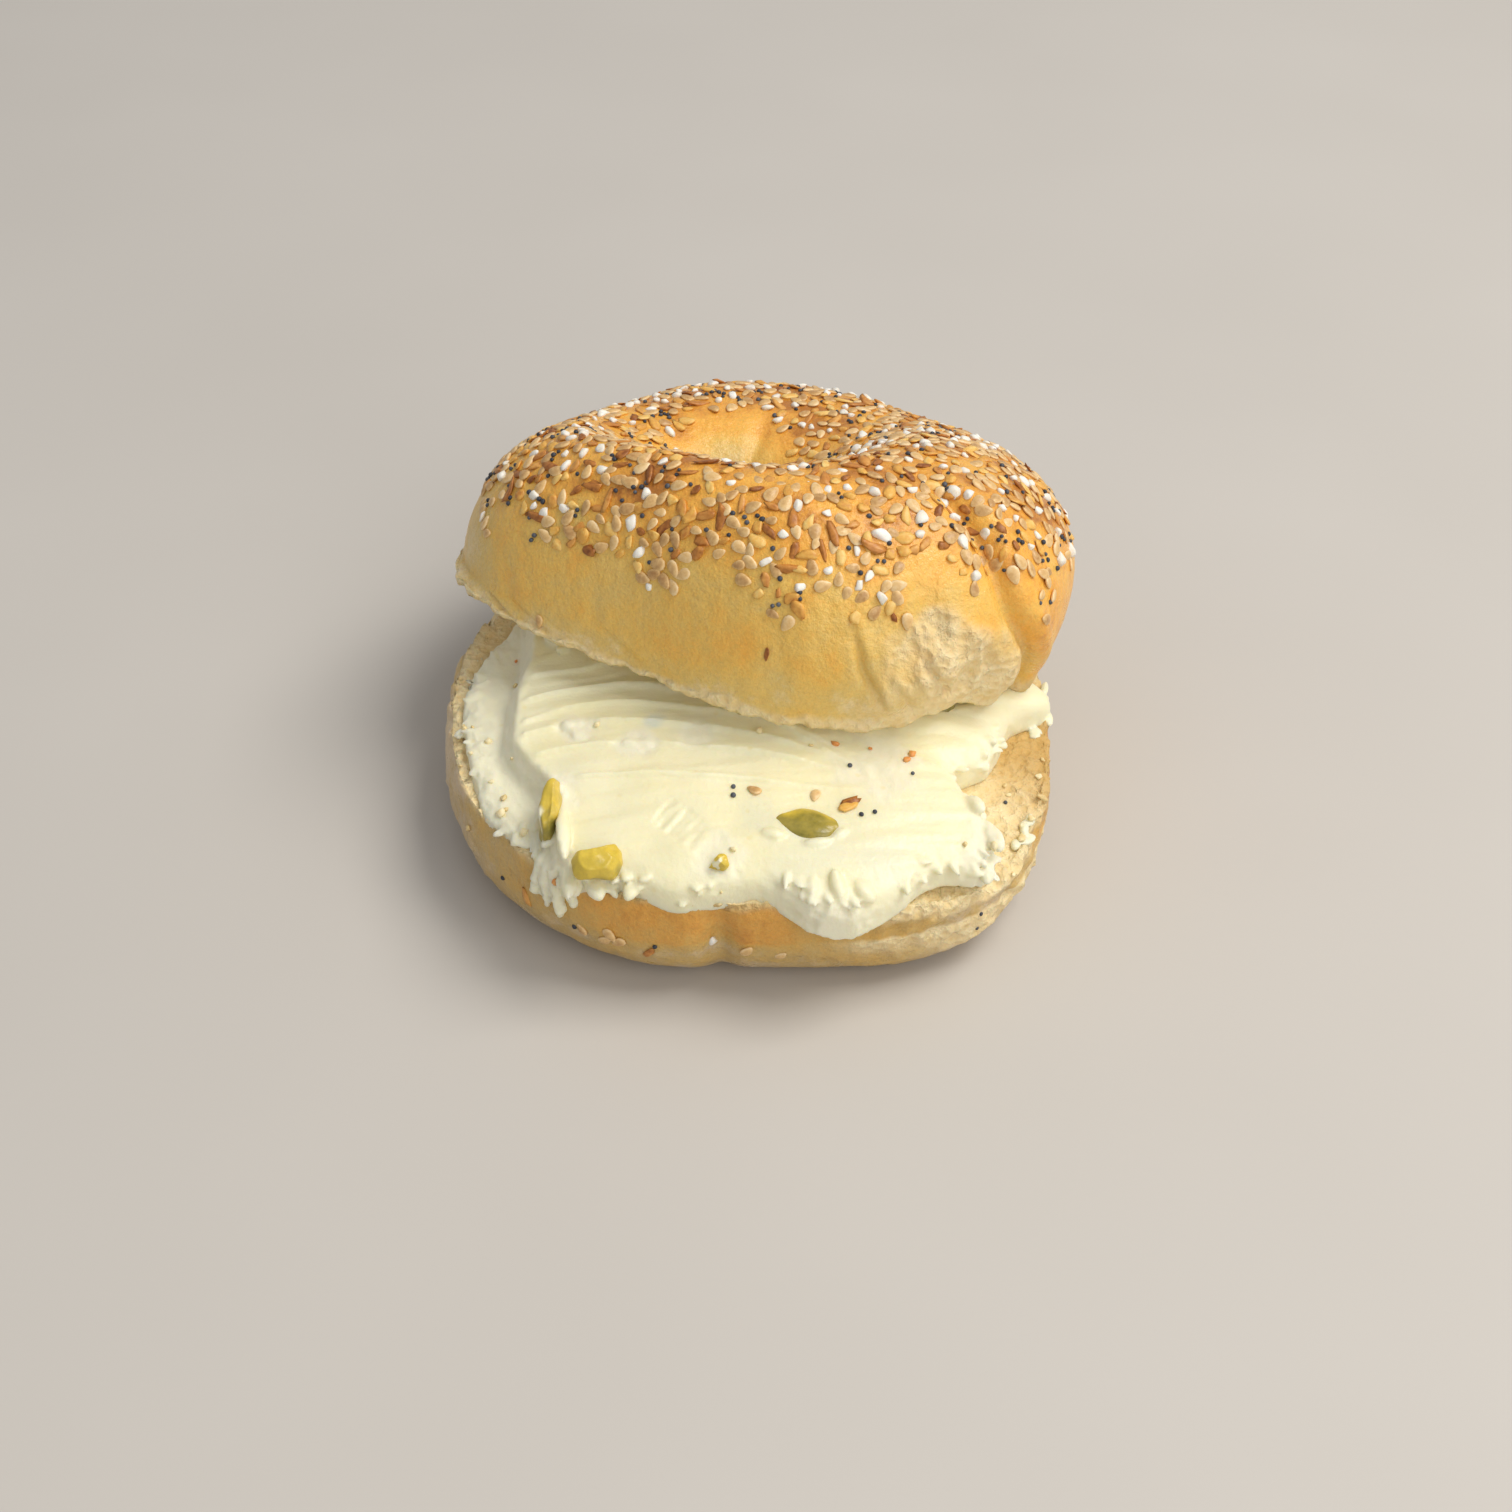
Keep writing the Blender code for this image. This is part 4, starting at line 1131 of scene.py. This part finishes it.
def buildOlive(name, look):
    olive = olives[name]
    bpy.ops.mesh.primitive_ico_sphere_add(subdivisions=5, radius=1.0)
    piece = bpy.context.object
    piece.name = name
    piece.data.name = name
    turn = Euler([math.radians(angle) for angle in olive["turn"]])
    turned = Matrix.Translation(olive["middle"]) @ turn.to_matrix().to_4x4()
    own = 7.0 + olive["middle"][0] / olive["size"][0]  # makes each piece uneven in its own way
    starts = np.array([vertex.co[:] for vertex in piece.data.vertices])
    if "cuts" in olive:
        starts = cutFlat(starts, random.Random(olive["cuts"]), 6, 0.55, 0.88)
    fleshy = []
    smeared = []
    for vertex, start in zip(piece.data.vertices, starts):
        point = Vector(start)
        sunk = point.length
        point.normalize()
        bulge = sum(abs(axis) ** olive["boxiness"] for axis in point) ** (-1.0 / olive["boxiness"])
        bulge *= 1.0 + 0.16 * waves(point, 0.9, own) + 0.05 * waves(point, 0.35, 9.0)
        fleshy.append(smooth(0.15, 0.55, olive["flesh"] + 0.5 * point.y + 0.3 * waves(point, 0.6, 13.0)))
        film = olive.get("smeared", -9.0) + 0.45 * waves(point, 0.7, 15.0)
        film += 0.30 * point.z - 0.35 * point.x
        smeared.append(smooth(0.10, 0.26, film))
        if "pointed" in olive:
            point.y *= max(0.0, 1.0 - point.x**2) ** olive["pointed"]
        spread = [0.5 * length * axis * bulge * sunk for length, axis in zip(olive["size"], point)]
        vertex.co = turned @ Vector(spread)
    paint(piece, "flesh", fleshy)
    paint(piece, "smeared", smeared)
    settle(piece, Matrix.Translation(standAt))
    dress(piece, look, "olive", (olive["node"],))
    return piece


# toppings: each kind is one joined mesh
toppings = {  # size along, across and through, how many, room round each, how far it lies into the crust
    "onion": ((0.0040, 0.0019, 0.0008), 200, 0.0019, 0.32),
    "garlic": ((0.0034, 0.0023, 0.0009), 250, 0.0020, 0.32),
    "salt": ((0.0023, 0.0018, 0.0014), 230, 0.0019, 0.36),
    "sesame": ((0.0030, 0.0019, 0.00085), 620, 0.0018, 0.30),
    "poppy": ((0.00090, 0.00082, 0.00078), 330, 0.0010, 0.30),
    "crumb": ((0.0018, 0.0015, 0.0012), 0, 0.0010, 0.2),
    "pepper": ((0.0020, 0.0016, 0.0011), 0, 0.0010, 0.2),
}

brokenShapes = {  # unevenness, how drawn out, how curled, darkest and lightest tone
    "onion": (0.75, 1.45, 1.5, 0.05, 0.85),
    "garlic": (0.45, 1.30, 0.6, 0.15, 0.85),
    "salt": (0.40, 1.30, 0.0, 0.45, 0.95),
    "poppy": (0.0, 1.08, 0.0, 0.20, 0.80),
    "crumb": (0.60, 1.30, 0.3, 0.20, 0.90),
    "pepper": (0.40, 1.25, 0.3, 0.20, 0.80),
}


def cutFlat(points, draw, cuts, nearest, farthest):
    # slice random flat faces off a small shape
    for _ in range(cuts):
        way = np.array([draw.gauss(0.0, 1.0) for _ in range(3)])
        way /= np.linalg.norm(way)
        over = np.maximum(points @ way - draw.uniform(nearest, farthest), 0.0)
        points = points - np.outer(over, way)
    return points


def brokenGrain(draw, uneven):
    # an irregular crumb one across, with flat broken faces
    points = grainShape[0].copy()
    pull = Vector((draw.random(), draw.random(), draw.random())) * 40.0
    rough = np.array([noise.noise(Vector(point) * 2.4 + pull) for point in points])
    return cutFlat(points * (1.0 + uneven * rough)[:, None], draw, 9, 0.24, 0.42), rough


def sesameSeed(draw):
    # a flat drop with a pale rim
    points = seedShape[0].copy()
    middle = 2.0 * np.hypot(points[:, 0], points[:, 1])
    points[:, 1] *= 1.0 - 0.75 * points[:, 0]
    points[:, 1] += draw.uniform(-0.25, 0.25) * points[:, 0] ** 2
    points[:, 2] *= 0.85 + 0.15 * np.clip(1.0 - middle**6, 0.0, 1.0)
    return points, draw.uniform(0.12, 0.55) + 0.38 * np.exp(-(((middle - 0.88) / 0.14) ** 2))


def oneTopping(kind, draw):
    # points of a single piece of true size, lying flat, with a tone for each point
    scale = draw.uniform(0.80, 1.20)
    if kind == "salt" and draw.random() < 0.2:  # a few big grains
        scale *= 1.2
    if kind == "sesame":
        points, tone = sesameSeed(draw)
        return points * np.array(toppings[kind][0]) * scale, seedShape[1], np.clip(tone, 0.0, 1.0)
    uneven, longest, curl, darkest, lightest = brokenShapes[kind]
    points, rough = grainShape[0].copy(), np.zeros(len(grainShape[0]))
    if uneven:
        points, rough = brokenGrain(draw, uneven)
    points[:, 0] *= draw.uniform(1.0 / longest, longest)
    points[:, 2] += draw.uniform(-0.3 * curl, curl) * points[:, 0] ** 2
    tone = draw.uniform(darkest, lightest) + 0.35 * rough
    return points * np.array(toppings[kind][0]) * scale, grainShape[1], np.clip(tone, 0.0, 1.0)


class Heap:
    # gathers pieces of one kind, then makes them one mesh
    def __init__(self, kind):
        self.kind = kind
        self.points = []
        self.faces = []
        self.tones = []
        self.count = 0

    def add(self, matrix, draw, scale=1.0):
        points, faces, tones = oneTopping(self.kind, draw)
        turn = np.array(matrix.to_3x3()) * scale
        self.points.append(points @ turn.T + np.array(matrix.translation))
        self.faces.extend([index + self.count for index in face] for face in faces)
        self.tones.append(tones)
        self.count += len(points)

    def build(self):
        mesh = bpy.data.meshes.new(self.kind)
        mesh.from_pydata(np.concatenate(self.points).tolist(), [], self.faces)
        piece = bpy.data.objects.new(self.kind, mesh)
        bpy.context.scene.collection.objects.link(piece)
        paint(piece, "tone", np.concatenate(self.tones))
        return piece


def lieOn(point, normal, spin, sink, draw, wobble=0.22):
    # how a piece lies on a skin: turned round its own middle, sunk or lifted, and a little askew
    askew = Vector([draw.uniform(-1, 1) for _ in range(3)])
    tipped = (normal + wobble * askew).normalized()
    turn = Vector((0.0, 0.0, 1.0)).rotation_difference(tipped).to_matrix().to_4x4()
    return Matrix.Translation(point + normal * sink) @ turn @ Matrix.Rotation(spin, 4, "Z")


seedLine = {
    "tongues": ((-114.0, 9.0, 0.10), (-87.0, 6.0, 0.14), (-66.0, 5.0, 0.06)),  # where it reaches lower
    "front": 0.30,  # height on the front wall above which the seeds begin
    "right": 0.16,
    "ragged": 0.17,
}


def seedDensity(angle, up, point):
    # how thickly the toppings lie at one place of the crown, from 0 to 1
    if up > 2.0 or up < 0.0:
        return 0.0
    past = wrapped(angle - crown["seamDirection"])
    right = smooth(-2.0, 4.0, past) * (1.0 - smooth(110.0, 150.0, angle))
    near = seedLine["front"] + (seedLine["right"] - seedLine["front"]) * right
    near += 0.10 * hump(angle, -50.0, 10.0) - 0.04 * hump(angle, 170.0, 30.0)
    near -= sum(drop * hump(angle, centre, spread) for centre, spread, drop in seedLine["tongues"])
    line = near + seedLine["ragged"] * waves(point, 0.009, 151.0)
    if up <= 1.0:
        thick = smooth(line, line + 0.10, up) * (0.35 + 0.65 * smooth(line + 0.05, line + 0.28, up))
        sparse = 1.0 - 0.62 * right * hump(angle, -12.0, 26.0) * (1.0 - smooth(0.75, 1.0, up))
        return thick * sparse * (0.62 + 0.62 * waves(point, 0.009, 153.0))
    end = 1.55 - 0.34 * hump(angle, 95.0, 36.0) + 0.16 * hump(angle, 30.0, 25.0)
    end += 0.12 * waves(point, 0.006, 155.0)
    inner = 1.0 - smooth(end - 0.18, end, up)
    inner *= 1.0 - 0.35 * hump(angle, 150.0, 35.0) * smooth(1.1, 1.2, up)
    return inner * (0.62 + 0.5 * waves(point, 0.010, 157.0))


def scatterOnCrown(piece, angles, ups, heaps):
    mesh = piece.data
    points = readPoints(mesh)
    normals = readNormals(mesh)
    room = np.zeros(len(points))
    areas = np.zeros(len(mesh.polygons))
    mesh.polygons.foreach_get("area", areas)
    corners = np.zeros(len(mesh.polygons) * 4, int)
    mesh.polygons.foreach_get("vertices", corners)
    np.add.at(room, corners, np.repeat(areas / 4.0, 4))
    own = crownTurn().inverted()
    density = np.array([
        max(0.0, seedDensity(angle, up, own @ Vector(point - np.array(standAt))))
        for angle, up, point in zip(angles, ups, points)
    ])
    draw = random.Random(29)
    taken = {}  # the pieces laid so far, kept by the small cube they lie in
    cube = 0.0025
    around = [(x, y, z) for x in (-1, 0, 1) for y in (-1, 0, 1) for z in (-1, 0, 1)]

    def free(point, radius):
        key = [int(math.floor(axis / cube)) for axis in point]
        for step in around:
            for other, reach in taken.get(tuple(a + b for a, b in zip(key, step)), ()):
                if (point - other).length < 0.5 * (radius + reach):
                    return False
        taken.setdefault(tuple(key), []).append((point, radius))
        return True

    for kind, (size, wanted, radius, sink) in toppings.items():
        sharp = density ** (0.75 if kind != "onion" else 1.1)
        weights = np.cumsum(room * sharp)
        made = 0
        for _ in range(wanted * 14):
            if made == wanted:
                break
            index = int(np.searchsorted(weights, draw.random() * weights[-1]))
            normal = Vector(normals[index])
            aside = Vector((draw.uniform(-1, 1), draw.uniform(-1, 1), 0.0))
            point = Vector(points[index]) + 0.0002 * aside
            if not free(point, radius):
                continue
            out = point + 0.8 * size[2] * normal
            over = max(0.0, *(out - Vector(cadBox[1])), *(Vector(cadBox[0]) - out))
            spin = draw.uniform(0.0, fullTurn)
            heaps[kind].add(lieOn(point, normal, spin, size[2] * (0.5 - sink) - over, draw), draw)
            made += 1
            if kind == "poppy" and draw.random() < 0.35:  # poppy seeds cling together
                aside = Vector((draw.uniform(-1, 1), draw.uniform(-1, 1), 0.3))
                beside = point + 0.0011 * normal.cross(aside).normalized()
                heaps[kind].add(lieOn(beside, normal, 0.0, size[2] * 0.2, draw), draw)
                made += 1
        print(kind, "laid on the crown:", made)


# toppings that fell on the spread and the heel: kind, across, along, scale
fallen = (
    ("sesame", -0.0003, -0.0452, 1.05),
    ("sesame", 0.0101, -0.0460, 1.0),
    ("onion", 0.0157, -0.0478, 1.1),
    ("garlic", 0.0160, -0.0482, 1.2),
    ("poppy", -0.0039, -0.0444, 1.0),
    ("poppy", -0.0039, -0.0465, 1.0),
    ("poppy", 0.0202, -0.0501, 1.0),
    ("poppy", 0.0179, -0.0506, 1.0),
    ("poppy", 0.0163, -0.0388, 1.0),
    ("poppy", 0.0271, -0.0407, 1.0),
    ("poppy", 0.0442, -0.0367, 1.0),
    ("pepper", 0.0273, -0.0355, 1.3),
    ("pepper", 0.0262, -0.0372, 0.8),
    ("pepper", 0.0139, -0.0341, 0.7),
    ("pepper", 0.0200, -0.0347, 0.6),
    ("pepper", -0.0334, -0.0601, 1.2),
    ("pepper", -0.0340, -0.0585, 0.8),
    ("pepper", -0.0450, -0.0021, 0.5),
    ("poppy", -0.0447, -0.0545, 1.1),
)


# where crumbs fell: across, along, how far apart they lie, how many
crumbPlaces = (
    (0.0100, -0.0290, 0.0040, 10),
    (-0.0500, -0.0250, 0.0070, 12),
    (-0.0460, -0.0450, 0.0050, 8),
    (0.0480, -0.0360, 0.0060, 16),
    (0.0420, -0.0600, 0.0045, 10),
    (-0.0050, -0.0690, 0.0080, 10),
)


# toppings stuck low on the heel: kind, direction, share of the way up its side
heelBits = (
    ("onion", -132.0, 0.97),
    ("onion", -107.0, 0.86),
    ("garlic", -6.0, 0.98),
    ("sesame", -4.0, 0.90),
    ("poppy", -138.0, 0.99),
    ("poppy", -121.0, 0.93),
    ("poppy", -106.0, 0.95),
    ("poppy", -49.5, 0.97),
    ("poppy", -49.6, 0.79),
    ("sesame", -119.5, 0.93),
    ("sesame", -114.0, 0.98),
    ("sesame", -115.0, 0.90),
    ("sesame", -112.5, 0.92),
    ("sesame", -90.0, 0.91),
    ("sesame", -84.0, 0.84),
    ("salt", -96.5, 0.94),
)


crownBits = (  # kind, direction, height from -1 at the lip to 1 at the crest, scale
    ("salt", -34.0, 0.76, 1.35),
    ("salt", -36.5, 0.75, 1.1),
    ("sesame", -144.0, -0.47, 1.0),
    ("onion", -90.0, 0.06, 0.5),
    ("sesame", -60.0, 0.22, 1.0),
    ("onion", -63.0, 0.24, 0.7),
)


def onSkin(pointAt, direction, turn):
    # a point of the crown's or the heel's skin, and the way it faces
    point = pointAt(direction, turn)
    along = pointAt(direction + 1.0, turn) - point
    return point, along.cross(pointAt(direction, turn + 0.004) - point).normalized()


def scatterSingles(heaps):
    draw = random.Random(41)
    steps = crown["steps"]
    rounds = sum(steps.values())
    frameOfCrown = Matrix.Translation(standAt) @ crownTurn()
    for kind, direction, up, scale in crownBits:
        turn = up * steps["outer"] / rounds if up > 0.0 else 1.0 + up * steps["skirt"] / rounds
        point, normal = onSkin(crownPoint, direction, turn)
        lying = lieOn(point, normal, draw.uniform(0.0, fullTurn), 0.0002, draw, 0.1)
        heaps[kind].add(frameOfCrown @ lying, draw, scale)


def scatterOnHeel(heaps):
    draw = random.Random(37)
    steps = heel["steps"]
    rounds = sum(steps.values())
    for kind, direction, share in heelBits:
        turn = (rounds - steps["side"] + share * steps["side"]) / rounds
        point, normal = onSkin(heelPoint, direction, turn)
        spin = draw.uniform(0.0, 2.0 * math.pi)
        heaps[kind].add(lieOn(point + standAt + heel["at"], normal, spin, 0.0001, draw, 0.1), draw)


def scatterFallen(under, heaps):
    draw = random.Random(31)
    trees = []
    for piece in under:
        mesh = piece.data
        faces = [polygon.vertices[:] for polygon in mesh.polygons]
        trees.append(BVHTree.FromPolygons([vertex.co[:] for vertex in mesh.vertices], faces))
    down = Vector((0.0, 0.0, -1.0))
    crumbs = [
        ("crumb", draw.gauss(x, spread), draw.gauss(y, spread), draw.uniform(0.4, 1.1))
        for x, y, spread, count in crumbPlaces
        for _ in range(count)
    ]
    for kind, x, y, scale in list(fallen) + crumbs:
        above = Vector((x, y, 0.0)) + standAt + Vector((0.0, 0.0, 0.2))
        hits = [tree.ray_cast(above, down) for tree in trees]
        hits = [hit for hit in hits if hit[0] is not None]
        if hits:
            point, normal = max(hits, key=lambda hit: hit[0].z)[:2]
            lying = lieOn(point, normal, draw.uniform(0.0, fullTurn), 0.0002, draw, 0.1)
            heaps[kind].add(lying, draw, scale)


floorColours = ((0.55, 0.515, 0.47), (0.57, 0.535, 0.49))


def buildFloor():
    bpy.ops.mesh.primitive_plane_add(size=6.0, location=(0.0, 0.0, -0.0001))
    floor = bpy.context.object
    floor.name = "floor"
    look = Look("paleFloor")
    look.colour(look.mix(look.mottle(9.0, 2.0, 0.55, 0.0, 1.0), *floorColours))
    look.put(Roughness=0.6)
    floor.data.materials.append(look.material)


lighting = {  # place, size, watts, colour
    "key": ((0.90, 0.06, 1.52), 0.95, 21.5, (1.0, 0.97, 0.92)),
    "fill": ((0.56, -0.82, 0.62), 0.80, 4.2, (1.0, 0.98, 0.95)),
    "aim": (0.0, 0.0, 0.03),
    "sky": 0.43,
    "skyColour": (0.97, 0.98, 1.0),
}


def buildLights():
    for name in ("key", "fill"):
        place, size, watts, colour = lighting[name]
        lamp = bpy.data.objects.new(name, bpy.data.lights.new(name, "AREA"))
        lamp.data.size = size
        lamp.data.energy = watts
        lamp.data.color = colour
        lamp.location = place
        towards = Vector(lighting["aim"]) - Vector(place)
        lamp.rotation_euler = towards.to_track_quat("-Z", "Y").to_euler()
        bpy.context.scene.collection.objects.link(lamp)
    world = bpy.data.worlds.new("studio")
    world.use_nodes = True
    back = world.node_tree.nodes["Background"]
    back.inputs["Color"].default_value = (*lighting["skyColour"], 1.0)
    back.inputs["Strength"].default_value = lighting["sky"]
    bpy.context.scene.world = world


cameraView = {
    "target": tuple(standAt),
    "distance": 0.430,
    "elevation": 40.0,
    "lens": 52.21,
}


def buildCamera():
    up = math.radians(cameraView["elevation"])
    away = Vector((0.0, -math.cos(up), math.sin(up))) * cameraView["distance"]
    camera = bpy.data.objects.new("camera", bpy.data.cameras.new("camera"))
    camera.data.sensor_width = 36.0
    camera.data.lens = cameraView["lens"]
    camera.data.clip_start = 0.01
    camera.location = Vector(cameraView["target"]) + away
    camera.rotation_euler = (-away).to_track_quat("-Z", "Y").to_euler()
    bpy.context.scene.collection.objects.link(camera)
    bpy.context.scene.camera = camera


crownPiece, crownAngles, crownUps = buildCrown(crustLook("crownCrust", (1.0, 1.0, 1.0)))
print("crown made")
# the heel's crust is a darker copy: painted shade under the spread, and a browner bake
heelPiece = buildHeel(crustLook("heelCrust", (0.77, 0.75, 0.84)))
print("heel made")
creamPiece = buildCream(creamLook())
print("spread made")
oliveSkin = oliveLook()
olivePieces = [buildOlive(name, oliveSkin) for name in olives]
print("olive pieces made")

heaps = {kind: Heap(kind) for kind in toppings}
scatterOnCrown(crownPiece, crownAngles, crownUps, heaps)
scatterFallen([creamPiece, heelPiece] + olivePieces, heaps)
scatterOnHeel(heaps)
scatterSingles(heaps)
toppingSlots = {"pepper": "olive"}
for kind, heap in heaps.items():
    dress(heap.build(), toppingLook(kind), toppingSlots.get(kind, "bagel_crust"))
print("toppings made")

buildFloor()
buildLights()
buildCamera()
bpy.context.scene.view_settings.view_transform = "Standard"
